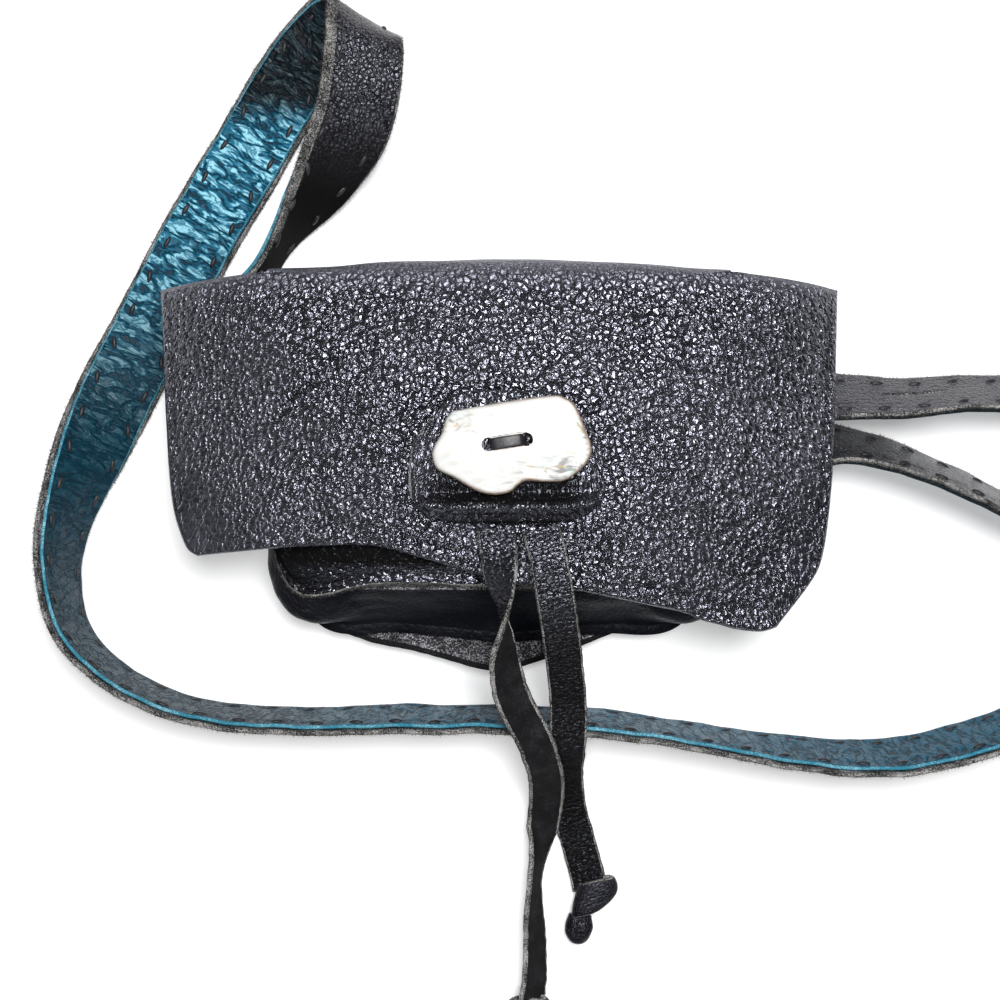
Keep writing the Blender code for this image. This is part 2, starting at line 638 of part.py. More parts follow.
def make_lace(left, right, base, top, black):
    """Lace that comes up through one hole, crosses the slot and goes down the other."""
    high = top - SLOT_DEPTH + GAP + LACE_RADIUS
    low = base - GAP - PATCH_THICK * 0.6
    curve = bpy.data.curves.new("button_lace", "CURVE")
    curve.dimensions = "3D"
    curve.bevel_depth = LACE_RADIUS
    curve.bevel_resolution = 2
    curve.use_fill_caps = True
    route = []
    for (x, y), (other_x, other_y) in ((left, right), (right, left)):
        inward = Vector((other_x - x, other_y - y, 0)).normalized() * LACE_RADIUS
        foot = Vector((x, y, low))
        bend = [foot, Vector((x, y, high - LACE_RADIUS * 1.2)),
                Vector((x, y, high - LACE_RADIUS * 0.35)) + inward * 0.35,
                Vector((x, y, high)) + inward * 1.2]
        route.append(bend)
    points = route[0] + route[1][::-1]
    spline = curve.splines.new("POLY")
    spline.points.add(len(points) - 1)
    for knot, point in zip(spline.points, points):
        knot.co = (*point, 1)
    add_object("button_lace", curve, black)


def make_patch(black):
    patch = sheet("button_patch", patch_point, 20, 8, PATCH_THICK, black)
    low, high = FLAP_CROWN - PATCH_THICK, FLAP_CROWN + 4 * PATCH_THICK
    for name, (x, y) in zip(("patch_left_hole", "patch_right_hole"), button_holes()):
        cut(patch, drill(name, x, y, low, high, LACE_RADIUS + GAP))


def make_snap(brass):
    """Snap: a socket on the lining, a stud on the front panel, and a washer behind each."""
    x, y = SNAP_CENTRE
    face = flap_top(x, y)
    hole = SNAP_NOSE_RADIUS + SNAP_NOSE_CLEARANCE
    socket_top = face - FLAP_THICK - GAP - LINING_THICK - GAP
    socket_low = socket_top - SNAP_THICK
    ring = [(hole, socket_low), (hole, socket_top - 0.0005), (SNAP_RADIUS - 0.0006, socket_top),
            (SNAP_RADIUS, socket_top - 0.0006), (SNAP_RADIUS, socket_low), (hole, socket_low)]
    turned("snap_socket", ring, (x, y, 0), brass)
    base_top = socket_low - GAP
    base_low = base_top - SNAP_BASE_THICK
    nose_top = base_top + SNAP_THICK - 0.0012
    stud = [(0, nose_top), (SNAP_NOSE_RADIUS - 0.0005, nose_top),
            (SNAP_NOSE_RADIUS, nose_top - 0.0005), (SNAP_NOSE_RADIUS, base_top),
            (SNAP_BASE_RADIUS, base_top), (SNAP_BASE_RADIUS, base_low), (0, base_low)]
    turned("snap_stud", stud, (x, y, 0), brass)
    panel_low = front_top(x, y) - PANEL_THICK
    for name, low in (("snap_socket_washer", face + GAP),
                      ("snap_stud_washer", panel_low - GAP - WASHER_THICK)):
        high = low + WASHER_THICK
        washer = [(WASHER_HOLE, high), (WASHER_RADIUS, high), (WASHER_RADIUS, low),
                  (WASHER_HOLE, low), (WASHER_HOLE, high)]
        turned(name, washer, (x, y, 0), brass)


def slit_cutter(index, frame, width):
    """Long thin oval across both layers of the strap, in line with it."""
    middle, run, across = frame
    mesh = bpy.data.meshes.new(f"slit_{index}")
    oval = bmesh.new()
    bmesh.ops.create_cone(oval, cap_ends=True, segments=16, radius1=1, radius2=1, depth=1)
    oval.to_mesh(mesh)
    oval.free()
    grain = run.cross(across)
    turn = Matrix((run, across, grain)).transposed().to_4x4()
    size = Matrix.Diagonal((SLIT_LENGTH / 2, width / 2, 6 * STRAP_LAYER, 1))
    return make_cutter(f"slit_{index}", mesh, Matrix.Translation(middle) @ turn @ size)


def make_strap(black, teal, brass, back_panel):
    frames = strap_frames()
    step = (frames[1][0] - frames[0][0]).length
    layer = (STRAP_LAYER + GAP) / 2
    outer = ribbon("strap_outer", frames, STRAP_WIDTH, layer, STRAP_LAYER, black)
    lining = ribbon("strap_lining", frames, STRAP_WIDTH, -layer, STRAP_LAYER, teal)
    slits = [(frame_at(frames, distance / step), SLIT_WIDTH) for distance in SLIT_PLACES]
    at_stud = frame_over(frames, POUCH_HALF_WIDTH - STUD_INSET)
    slits.append((at_stud, STUD_SLIT_WIDTH))
    for index, (at_slit, width) in enumerate(slits):
        cutter = slit_cutter(index, at_slit, width)
        cut(outer, cutter)
        cut(lining, cutter)
    make_stud(at_stud[0], brass, back_panel)


def make_stud(place, brass, back_panel):
    """Stud through the back panel and the strap's last slit, with its head under the strap."""
    head_top = place.z - STRAP_LAYER - GAP / 2 - GAP
    panel_top = back_under(place.x) + PANEL_THICK
    base_low = panel_top + GAP
    base_top = base_low + STUD_HEAD_THICK
    head_low = head_top - STUD_HEAD_THICK
    profile = [(0, base_top), (STUD_HEAD, base_top), (STUD_HEAD, base_low), (STUD_NECK, base_low),
               (STUD_NECK, head_top), (STUD_HEAD, head_top), (STUD_HEAD, head_low), (0, head_low)]
    turned("strap_stud", profile, (place.x, place.y, 0), brass)
    hole = drill("stud_hole", place.x, place.y, panel_top - 0.003, panel_top + 0.002,
                 STUD_NECK + GAP)
    cut(back_panel, hole)


def make_tie(name, route, black):
    frames = tie_frames(route)
    ribbon(name, frames, TIE_WIDTH, 0.0, TIE_THICK, black)
    return frames[-1]


def make_knot(name, frame, black):
    """Knot at a tie's end: a flattened wrap with a rolled ball past it, as one solid."""
    middle, run, across = frame
    run = Vector((run.x, run.y, 0)).normalized()
    across = Vector((-run.y, run.x, 0))
    turn = Matrix((across, run, Vector((0, 0, 1)))).transposed().to_4x4()
    centre = middle + run * (KNOT_SIZE[1] / 2 + GAP)
    centre.z = KNOT_SIZE[2] / 2 + GAP
    mesh = bpy.data.meshes.new(name)
    cage = bmesh.new()
    bmesh.ops.create_cube(cage, size=1.0)
    bmesh.ops.scale(cage, vec=KNOT_SIZE, verts=cage.verts)
    bmesh.ops.bevel(cage, geom=cage.edges[:], offset=0.0018, segments=2, affect="EDGES")
    cage.to_mesh(mesh)
    cage.free()
    knot = add_object(name, mesh, black)
    knot.matrix_world = Matrix.Translation(centre) @ turn
    ball_mesh = bpy.data.meshes.new(f"{name}_ball")
    ball = bmesh.new()
    bmesh.ops.create_uvsphere(ball, u_segments=14, v_segments=9, radius=KNOT_BALL)
    ball.to_mesh(ball_mesh)
    ball.free()
    end = centre + run * (KNOT_SIZE[1] / 2 + KNOT_BALL * 0.7)
    end.z = KNOT_BALL + GAP
    joined = make_cutter(f"{name}_ball", ball_mesh, Matrix.Translation(end))
    union = knot.modifiers.new("ball", "BOOLEAN")
    union.operation = "UNION"
    union.object = joined


def clear_scene():
    for piece in list(bpy.data.objects):
        bpy.data.objects.remove(piece)
    collection(PARTS)
    collection(CUTTERS)


def main():
    clear_scene()
    black = leather("black_leather", (0.012, 0.012, 0.015), 0.5)
    lining = leather("black_lining", (0.020, 0.020, 0.022), 0.7)
    suede = leather("black_suede", (0.030, 0.030, 0.034), 0.9)
    teal = leather("teal_leather", (0.012, 0.110, 0.150), 0.45)
    shell = leather("shell", (0.75, 0.73, 0.68), 0.2)
    brass = leather("brass", (0.55, 0.42, 0.20), 0.35, 1.0)
    back_panel = make_pouch(black, suede)
    make_flap(black, lining)
    make_patch(black)
    make_button(shell, black, patch_top())
    make_snap(brass)
    make_strap(black, teal, brass, back_panel)
    for side, route in (("left", LEFT_TIE_ROUTE), ("right", RIGHT_TIE_ROUTE)):
        end = make_tie(f"tie_{side}", route, black)
        make_knot(f"tie_{side}_knot", end, black)


main()
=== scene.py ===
# %% [markdown]
# # A small leather crossbody bag
#
# The bag lies on its back with its flap down over the front, a shell button in the middle of the
# flap and two leather ties hanging over the hem. Its long strap lies round it in a loose loop.
#
# The solids of the bag are packed already. This script loads them as a fixed frame and
# builds what the eye sees: every piece of leather at its real thickness, its grain, its raw edges,
# its stitches, and the finish of the button. A piece that stands for a solid hides it.

# %% Load the frame
import math

import bmesh
import bpy
import numpy as np
from mathutils import Matrix, Vector, noise


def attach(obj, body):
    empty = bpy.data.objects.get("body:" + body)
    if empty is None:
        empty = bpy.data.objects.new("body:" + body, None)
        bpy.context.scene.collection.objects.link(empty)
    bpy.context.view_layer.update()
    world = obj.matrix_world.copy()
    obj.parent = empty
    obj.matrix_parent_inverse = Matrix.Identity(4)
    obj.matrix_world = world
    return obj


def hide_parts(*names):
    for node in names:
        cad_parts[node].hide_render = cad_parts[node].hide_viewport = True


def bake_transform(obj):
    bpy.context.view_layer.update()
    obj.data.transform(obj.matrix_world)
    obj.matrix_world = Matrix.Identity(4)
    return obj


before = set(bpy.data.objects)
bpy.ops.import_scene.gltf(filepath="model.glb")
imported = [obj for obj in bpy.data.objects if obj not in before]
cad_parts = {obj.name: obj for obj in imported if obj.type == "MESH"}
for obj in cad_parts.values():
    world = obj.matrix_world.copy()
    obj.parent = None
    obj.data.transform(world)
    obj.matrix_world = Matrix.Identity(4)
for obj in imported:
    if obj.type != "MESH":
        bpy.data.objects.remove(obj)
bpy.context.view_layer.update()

# %% [markdown]
# ## Camera
#
# The photograph looks straight down on the bag from arm's length, so the strap that lies on the
# table is drawn smaller than the flap above it. A camera close to the bag gives that perspective.
# A camera that isn't turned looks down Z with Y up, which is what is wanted here.

# %% Place the camera
CAMERA_PLACE = (0.0, -0.0233, 0.4200)
LENS_MM = 52.78

camera_data = bpy.data.cameras.new("camera")
camera_data.lens = LENS_MM
camera_data.sensor_width = 36.0
camera = bpy.data.objects.new("camera", camera_data)
camera.location = CAMERA_PLACE
bpy.context.scene.collection.objects.link(camera)
bpy.context.scene.camera = camera
print("camera", CAMERA_PLACE, "lens", LENS_MM)

# %% [markdown]
# ## Smooth lines and sheets
#
# Leather is cut flat and then bent, so nearly every piece here is a sheet. A sheet is a grid of
# points on its grain side. Solidify gives it the leather's thickness behind that side, and the
# sheet's three material slots are its grain side, its flesh side and its cut edge. The grid also
# carries its flat size as a UV map in metres, so that a grain pattern bends with the leather.

# %% Curves through points
def ease(low, high, value):
    """Smooth step from 0 at low to 1 at high."""
    share = np.clip((value - low) / (high - low), 0.0, 1.0)
    return share * share * (3 - 2 * share)


def through(points, share):
    """Smooth curve through points, for an array of shares from 0 to 1."""
    points = np.asarray(points, float)
    spans = len(points) - 1
    place = np.clip(np.asarray(share, float), 0, 1) * spans
    first = np.minimum(place.astype(int), spans - 1)
    t = (place - first).reshape(-1, *[1] * (points.ndim - 1))
    before, here, ahead, after = (
        points[np.clip(first + step, 0, spans)] for step in (-1, 0, 1, 2))
    return 0.5 * (2 * here + (ahead - before) * t
                  + (2 * before - 5 * here + 4 * ahead - after) * t ** 2
                  + (3 * here - before - 3 * ahead + after) * t ** 3)


def travel(line):
    """Distance along a line of points, at each of them."""
    steps = np.linalg.norm(np.diff(line, axis=0), axis=1)
    return np.concatenate([[0], np.cumsum(steps)])


def evenly(points, count):
    """count points at even distances along the smooth curve through points."""
    dense = np.linspace(0, 1, 40 * (len(points) - 1) + 1)
    travelled = travel(through(points, dense))
    return through(points, np.interp(np.linspace(0, travelled[-1], count), travelled, dense))


def unit(vectors):
    return vectors / np.linalg.norm(vectors, axis=-1, keepdims=True)


def joined(*parts):
    """Points from their coordinates, each spread to the same shape first."""
    return np.stack(np.broadcast_arrays(*parts), axis=-1)


def hump(value, middle, width):
    """1 where value is middle, falling off smoothly on both sides."""
    return np.exp(-((value - middle) / width) ** 2)


def clouds(points, size, seed=0.0):
    """Smooth noise from -1 to 1 at an array of points, its lumps about size across."""
    flat = np.asarray(points, float).reshape(-1, points.shape[-1]) / size
    if flat.shape[1] == 2:
        flat = np.column_stack([flat, np.zeros(len(flat))])
    values = [noise.noise(Vector(place) + Vector((seed, seed * 0.7, seed * 1.3))) for place in flat]
    return np.array(values).reshape(points.shape[:-1])


# %% Sheets
FLESH, CUT_EDGE = 1, 2
BORDERS = {"start": (0,), "end": (-1,), "left": (slice(None), 0), "right": (slice(None), -1)}


def sheet_mesh(name, points, uv, flip=False, keep=None, raw=(), raw_cells=None):
    """Mesh of quads over a grid of points, with a UV map in metres, less the cells not kept.

    The borders named in raw, such as "left" or "end", and raw_cells show the cut leather.
    """
    rows, columns = points.shape[:2]
    index = np.arange(rows * columns).reshape(rows, columns)
    quads = np.stack([index[:-1, :-1], index[1:, :-1], index[1:, 1:], index[:-1, 1:]], axis=-1)
    if flip:
        quads = quads[..., ::-1]
    bare = np.zeros(quads.shape[:2], int)
    for border in raw:
        bare[BORDERS[border]] = CUT_EDGE
    if raw_cells is not None:
        bare[raw_cells] = CUT_EDGE
    chosen = np.ones(bare.shape, bool) if keep is None else keep
    quads, bare = quads[chosen], bare[chosen]
    used, place = np.unique(quads, return_inverse=True)
    mesh = bpy.data.meshes.new(name)
    mesh.from_pydata(points.reshape(-1, 3)[used].tolist(), [], place.reshape(-1, 4).tolist())
    layer = mesh.uv_layers.new(name="leather")
    corner_uv = uv.reshape(-1, 2)[quads.reshape(-1)]
    layer.data.foreach_set("uv", corner_uv.astype(np.float32).ravel())
    mesh.polygons.foreach_set("material_index", bare.ravel())
    mesh.shade_smooth()
    return mesh


def add_piece(name, mesh, *materials):
    piece = bpy.data.objects.new(name, mesh)
    bpy.context.scene.collection.objects.link(piece)
    for material in materials:
        mesh.materials.append(material)
    return piece


def thicken(piece, thickness):
    """Leather behind the grain side, with its own flesh side and cut edge."""
    wall = piece.modifiers.new("leather", "SOLIDIFY")
    wall.thickness = thickness
    wall.offset = -1.0
    wall.use_even_offset = False
    wall.use_quality_normals = True
    if len(piece.data.materials) > CUT_EDGE:
        wall.material_offset, wall.material_offset_rim = FLESH, CUT_EDGE
    return piece


def plain(piece):
    """The piece with its modifiers applied, as one plain mesh."""
    bpy.context.view_layer.update()
    evaluated = piece.evaluated_get(bpy.context.evaluated_depsgraph_get())
    mesh = bpy.data.meshes.new_from_object(evaluated)
    piece.modifiers.clear()
    piece.data = mesh
    return piece


def flat_size(points):
    """UV of a grid: its distance along each column and each row, in metres."""
    down = np.linalg.norm(np.diff(points, axis=0), axis=2)
    over = np.linalg.norm(np.diff(points, axis=1), axis=2)
    v = np.vstack([np.zeros((1, points.shape[1])), np.cumsum(down, axis=0)])
    u = np.hstack([np.zeros((points.shape[0], 1)), np.cumsum(over, axis=1)])
    u -= u[:, points.shape[1] // 2][:, None]
    return np.stack([u, v], axis=-1)


def cut_leather(name, points, materials, thickness, uv=None, **borders):
    """Piece of leather over a grid of points, its thickness still a live modifier."""
    mesh = sheet_mesh(name, points, flat_size(points) if uv is None else uv, **borders)
    return thicken(add_piece(name, mesh, *materials), thickness)


def rework(mesh, change):
    """Changes a mesh with BMesh operators."""
    cells = bmesh.new()
    cells.from_mesh(mesh)
    change(cells)
    cells.to_mesh(mesh)
    cells.free()


def hand_over(piece, body, node):
    """Puts the piece on the body that it rides on, and hides the solid that it stands for."""
    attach(piece, body)
    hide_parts(node)


# %% [markdown]
# ## Finishes
#
# Shader maths reads best as maths. A `Wire` is one socket of a node tree; adding or multiplying
# wires adds the Math nodes. A `Finish` is one material: its `node` method makes any other node from
# its type, its settings and what its sockets hold.

# %% Node trees as maths
class Wire:
    """One socket of a node tree, such as a number that varies over a surface."""

    def __init__(self, bench, socket):
        self.bench, self.socket = bench, socket

    def maths(self, operation, *values):
        return self.bench.node("ShaderNodeMath", {"operation": operation},
                               dict(enumerate(values)))

    def __add__(self, other):
        return self.maths("ADD", self, other)

    def __sub__(self, other):
        return self.maths("SUBTRACT", self, other)

    def __rsub__(self, other):
        return self.maths("SUBTRACT", other, self)

    def __mul__(self, other):
        return self.maths("MULTIPLY", self, other)

    def __pow__(self, other):
        return self.maths("POWER", self, other)

    __radd__, __rmul__ = __add__, __mul__

    def between(self, low, high, start=0.0, end=1.0):
        """Smooth step from start, where the value is low, to end, where it is high."""
        return self.bench.node(
            "ShaderNodeMapRange", {"interpolation_type": "SMOOTHSTEP"},
            {"Value": self, "From Min": low, "From Max": high, "To Min": start, "To Max": end})


class Bench:
    """A node tree under construction."""

    def __init__(self, tree):
        self.tree = tree

    def feed(self, node, socket, value):
        target = node.inputs[socket]
        if isinstance(value, Wire):
            self.tree.links.new(value.socket, target)
        elif isinstance(value, tuple) and len(value) == 3 and target.type == "RGBA":
            target.default_value = (*value, 1.0)
        else:
            target.default_value = value

    def node(self, kind, settings=None, sockets=None, out=0):
        made = self.tree.nodes.new(kind)
        for name, value in (settings or {}).items():
            setattr(made, name, value)
        for name, value in (sockets or {}).items():
            self.feed(made, name, value)
        return Wire(self, made.outputs[out])


# A matte black that stands in for shade: painted shade.
PAINTED_SHADE_BLACK = {"Base Color": (0.003, 0.003, 0.003), "Roughness": 0.9, "Specular IOR Level": 0.05}


def tinted(amount, colour):
    return tuple(amount * value for value in colour)


class Finish(Bench):
    """A material. Its places are in millimetres."""

    def __init__(self, name, **constants):
        self.material = bpy.data.materials.new(name)
        self.material.use_nodes = True
        super().__init__(self.material.node_tree)
        self.shader = self.tree.nodes["Principled BSDF"]
        for socket, value in constants.items():
            self.set(socket.replace("_", " "), value)

    def set(self, socket, value):
        self.feed(self.shader, socket, value)

    def vector(self, operation, first, second):
        return self.node("ShaderNodeVectorMath", {"operation": operation}, {0: first, 1: second})

    def dim(self, amount):
        """Paints shade: mixes the finish with a matte black, by an amount from 0 to 1."""
        painted_shade = self.node("ShaderNodeBsdfPrincipled", None, PAINTED_SHADE_BLACK)
        both = self.node("ShaderNodeMixShader", None,
                         {0: amount, 1: Wire(self, self.shader.outputs[0]), 2: painted_shade})
        self.feed(self.tree.nodes["Material Output"], "Surface", both)

    def flat(self, stretch=(1.0, 1.0)):
        """The place on the flat leather."""
        place = self.node("ShaderNodeUVMap", {"uv_map": "leather"})
        return self.vector("MULTIPLY", place, (1000 * stretch[0], 1000 * stretch[1], 0.0))

    def here(self):
        """The place in the bag's own frame."""
        place = self.node("ShaderNodeTexCoord", out="Object")
        return self.vector("MULTIPLY", place, (1000.0, 1000.0, 1000.0))

    def axis(self, name):
        """One coordinate in the bag's own frame."""
        return self.node("ShaderNodeSeparateXYZ", None, {0: self.here()}, name)

    def past(self, axis, low, high):
        """0 where a coordinate is below low, rising to 1 at high."""
        return self.axis(axis).between(low, high)

    def short_of(self, axis, low, high):
        """1 where a coordinate is below low, falling to 0 at high."""
        return 1 - self.past(axis, low, high)

    def shifted(self, place, wobble, amount):
        """place moved about by a colour that lies around middle grey."""
        centred = self.vector("SUBTRACT", wobble, (0.5, 0.5, 0.5))
        moves = self.vector("MULTIPLY", centred, (amount, amount, amount))
        return self.vector("ADD", place, moves)

    def cloud(self, place, size, detail=2.0, out="Fac", roughness=0.5):
        return self.node("ShaderNodeTexNoise", None,
                         {"Vector": place, "Scale": 1.0 / size, "Detail": detail,
                          "Roughness": roughness}, out)

    def cells(self, place, size, feature="DISTANCE_TO_EDGE"):
        return self.node("ShaderNodeTexVoronoi",
                         {"voronoi_dimensions": "2D", "feature": feature},
                         {"Vector": place, "Scale": 1.0 / size}, "Distance")

    def mix(self, factor, first, second):
        return self.node("ShaderNodeMix", {"data_type": "RGBA"},
                         {0: factor, 6: first, 7: second}, 2)

    def relief(self, height, depth):
        """Bump whose full height is depth, in metres."""
        self.set("Normal", self.node("ShaderNodeBump", None, {"Height": height, "Distance": depth}))


# %% [markdown]
# ### Grain leather
#
# The black leather is a shrunken, pebbled grain. Its pebbles are about 1.5 mm across with sharp
# furrows between them; their tops are low polished domes and the furrows are dull. A Voronoi cell
# gives both: the distance to its middle makes the dome, and the distance to its edge the furrow.
# Noise pushes the cells out of shape, and a second, finer set breaks each dome, so that the lamp
# glints from a different spot on each. The glints need no white paint: they come from the relief.
#
# The leather isn't the same all over. It is smoother and greyer over the fold and calmer at the
# flap's lower left. Its furrows are darker with painted shade, and painted shade mixes it towards a
# matte black on the ties below the hem, under the button, on the patch's foot, over most of the
# front panel and on the strap's outer face at the left, where hardly any light reaches.

# %% Grain leather
BLACK = (0.0048, 0.0046, 0.0062)
BLACK_PALE = (0.016, 0.016, 0.020)


def tie_shade(finish):
    """Painted shade on the ties from the hem on, which hang below the bag."""
    return finish.short_of("Y", -66.0, -30.0) * 0.88


def patch_shade(finish):
    """Painted shadow in the valley under the button, and on the patch's foot below its ridge."""
    valley = finish.short_of("Y", -18.0, -13.5) * finish.past("Y", -25.4, -23.2)
    valley = valley * finish.past("X", -21.0, -14.0) * finish.short_of("X", 16.0, 23.0)
    return valley * 0.80 + finish.short_of("Y", -29.2, -28.0) * 0.75


def panel_shade(finish):
    """Painted shade over the front panel, but for the lit folds at its left above the seam."""
    lit = finish.past("X", -62.0, -40.0) * finish.short_of("X", -8.0, 2.0)
    return (1 - lit * finish.short_of("Y", -42.5, -39.5)) * 0.93


# The painted shade of each part, by place.
SHADES = {"tie": tie_shade, "patch": patch_shade, "panel": panel_shade}


def grain_leather(name, part=None, pale=BLACK_PALE, pebble=1.6, depth=0.00050, shine=0.17,
                  stretch=(1.0, 1.0), gloss=1.0):
    """Black leather with pebbles of a size in millimetres, and what its part of the bag needs."""
    finish = Finish(name, Specular_Tint=(0.82, 0.84, 1.0), IOR=1.75, Specular_IOR_Level=gloss)
    place = finish.flat(stretch)
    bent = finish.shifted(place, finish.cloud(place, pebble * 1.2, 2.0, "Color"), pebble * 1.6)
    dome = 1 - finish.cells(bent, pebble, "F1") ** 2.0
    small = 1 - finish.cells(bent, pebble * 0.46, "F1") ** 2.0
    furrow = finish.cells(bent, pebble).between(0.0, 0.26)
    fine = finish.cloud(place, pebble * 0.20, 3.0)
    broad = finish.cloud(place, pebble * 5.0, 3.0)
    worn = finish.cloud(place, pebble * 9.0, 3.0).between(0.36, 0.66)
    height = dome * 1.1 + furrow * 0.22 + small * 0.22 + fine * 0.10 + broad * 1.8
    rough = (1 - furrow) * 0.10 + worn * 0.06 + fine * 0.06 + (shine - 0.05)
    top = BLACK
    if part == "flap":
        fold = finish.past("Y", 29.0, 36.0)
        calm = finish.short_of("X", -92.0, -34.0) * finish.short_of("Y", -38.0, 8.0)
        height = height * (1 - calm * 0.70)
        rough = rough + fold * 0.22 + calm * 0.14
        top = finish.mix(fold, BLACK, tinted(3.6, pale))
    if part == "strap":
        # Painted shade on the strap's outer face at the left, below the upper curl, its roughness
        # raised there too.
        inside = finish.short_of("Y", 60.0, 98.0) * finish.short_of("X", -25.0, -5.0)
        rough = rough + inside * 0.20
        finish.dim(inside * 0.97)
    if part in SHADES:
        finish.dim(SHADES[part](finish))
    finish.relief(height, depth)
    finish.set("Roughness", rough)
    # Painted shade: the colour is darker in the furrows between the pebbles.
    colour = finish.mix(furrow * small, tinted(0.35, BLACK), top)
    finish.set("Base Color", finish.mix(worn * fine * 0.6, colour, pale))
    return finish.material


black_grain = grain_leather("black_grain", "flap")
strap_grain_leather = grain_leather("strap_grain", "strap", (0.034, 0.033, 0.036), pebble=1.1,
                                    depth=0.00034, shine=0.22, gloss=0.42)
tie_grain = grain_leather("tie_grain", "tie", pebble=1.2, depth=0.00034, shine=0.19,
                          stretch=(0.7, 1.3), gloss=0.7)
knot_grain = grain_leather("knot_grain", pebble=0.9, depth=0.00014, shine=0.28, gloss=0.16)
patch_grain = grain_leather("patch_grain", "patch", pebble=1.5, depth=0.00044, shine=0.16,
                            stretch=(1.2, 0.6))
panel_grain = grain_leather("panel_grain", "panel", pebble=1.7, shine=0.14, stretch=(0.6, 1.0))
gusset_grain = grain_leather("gusset_grain", depth=0.00012, shine=0.42, gloss=0.2)
print("grain leathers:", black_grain.name, strap_grain_leather.name, tie_grain.name)

# %% [markdown]
# ### Teal leather
#
# The strap's lining is a thinner, softer leather that has crinkled across the strap. Noise folded
# about its middle value gives creases: broad ones and finer ones between them, both drawn out
# across the strap. The creases are darker with painted shade, and on the upper part of the strap
# the ridges are paler, partly rubbed wear and partly painted highlight. Painted shadow makes the
# lining near black inside the upper curl, and painted shade darkens it along the arc and the
# bottom run, where it stands on edge.

# %% Teal leather
TEAL = (0.0080, 0.1350, 0.2300)
TEAL_CREASE_SHADE = (0.0010, 0.0260, 0.0500)
# TEAL_PALE is the ridges' rubbed wear and painted highlight.
TEAL_PALE = (0.2900, 0.6400, 0.7800)
TEAL_CURL_SHADOW = (0.001, 0.002, 0.003)


def crinkled_teal():
    finish = Finish("teal_grain", IOR=1.5, Specular_IOR_Level=0.18)
    place = finish.flat((0.42, 1.0))
    bent = finish.shifted(place, finish.cloud(place, 6.0, 3.0, "Color"), 6.0)
    creases = []
    for size, start in ((3.6, 0.45), (1.5, 0.40)):
        wave = (finish.cloud(bent, size) - 0.5) * 5.0
        creases.append((1 - wave.maths("ABSOLUTE", wave)).between(start, 1.0))
    ridge = (1 - creases[0]) * 0.65 + (1 - creases[1]) * 0.35
    fine = finish.cloud(finish.flat(), 0.45, 3.0)
    finish.relief(ridge + fine * 0.22, 0.00055)
    finish.set("Roughness", (1 - ridge) * 0.22 + fine * 0.14 + 0.22)
    # Rubbed wear and painted highlight: the ridges on the upper part of the strap are paler.
    rubbed_and_highlit = ridge.between(0.58, 0.95) * fine * 1.9 * finish.past("Y", -50.0, 20.0)
    # Painted shadow: near black inside the upper curl, under the return limb.
    curl_shadow = finish.past("Y", 80.0, 92.0)
    # Painted shade along the arc and the bottom run, half as much towards the right.
    arc_shade = finish.short_of("Y", 0.0, 62.0) * (1 - finish.past("X", -72.0, -30.0) * 0.50)
    # Painted shade: the creases are darker.
    colour = finish.mix(ridge.between(0.08, 0.55), TEAL_CREASE_SHADE, TEAL)
    colour = finish.mix(rubbed_and_highlit, colour, TEAL_PALE)
    colour = finish.mix(arc_shade * 0.90, colour, tinted(0.16, TEAL))
    finish.set("Base Color", finish.mix(curl_shadow * 0.96, colour, TEAL_CURL_SHADOW))
    return finish.material


teal_grain = crinkled_teal()

# %% [markdown]
# ### Flesh side, cut edges, lining and thread
#
# The flesh side of a hide is suede: short fibres that scatter light every way. A cut edge shows the
# fibres end on, as a speckle of grey on black. Both are rough, with no shine, and the speckle comes
# from a fine noise that drives the colour.

# %% Suede and edges
def fibres(name, dark, light, speckle=0.28, low=0.45, high=0.72, blackened=False):
    """Rough fibres, their specks of a size in millimetres."""
    finish = Finish(name, Specular_IOR_Level=0.15)
    place = finish.here()
    speck = finish.cloud(place, speckle, 4.0, roughness=0.75)
    patch = finish.cloud(place, speckle * 14, 2.0)
    colour = finish.mix((speck * 0.75 + patch * 0.25).between(low, high), dark, light)
    if blackened:
        away = finish.past("X", 55.0, 85.0) * finish.past("Y", -50.0, -25.0)
        colour = finish.mix(away * 0.95, colour, (0.004, 0.004, 0.005))
    finish.set("Base Color", colour)
    finish.set("Roughness", 0.95 - speck * 0.15)
    finish.relief(speck, 0.00025)
    return finish.material


suede = fibres("suede", (0.012, 0.012, 0.014), (0.560, 0.560, 0.600), speckle=0.40,
               low=0.49, high=0.64)
tie_back = fibres("tie_back", (0.005, 0.005, 0.006), (0.040, 0.040, 0.044))
cut_edge = fibres("cut_edge", (0.005, 0.005, 0.006), (0.460, 0.455, 0.440), speckle=0.36,
                  low=0.46, high=0.58)
raw_edge = fibres("raw_edge", (0.020, 0.019, 0.018), (0.480, 0.470, 0.440), speckle=0.30,
                  low=0.44, high=0.56)
black_edge = fibres("black_edge", (0.006, 0.006, 0.007), (0.030, 0.030, 0.032), speckle=0.40)
teal_edge = fibres("teal_edge", (0.020, 0.180, 0.270), (0.420, 0.780, 0.900), speckle=0.4,
                   blackened=True)
loose_fibre = fibres("loose_fibre", (0.050, 0.050, 0.052), (0.420, 0.415, 0.400), speckle=0.5)
lining_leather = fibres("lining_leather", (0.012, 0.012, 0.013), (0.040, 0.040, 0.043), speckle=0.5)


def plain_finish(name, colour, roughness, scale=1.2, **constants):
    """A finish with a little unevenness in its shine and surface."""
    finish = Finish(name, **constants)
    wear = finish.cloud(finish.here(), scale, 4.0)
    finish.set("Roughness", wear * 0.22 + (roughness - 0.11))
    finish.set("Base Color", finish.mix(wear, tinted(0.75, colour), colour))
    finish.relief(wear, 0.00006)
    return finish.material


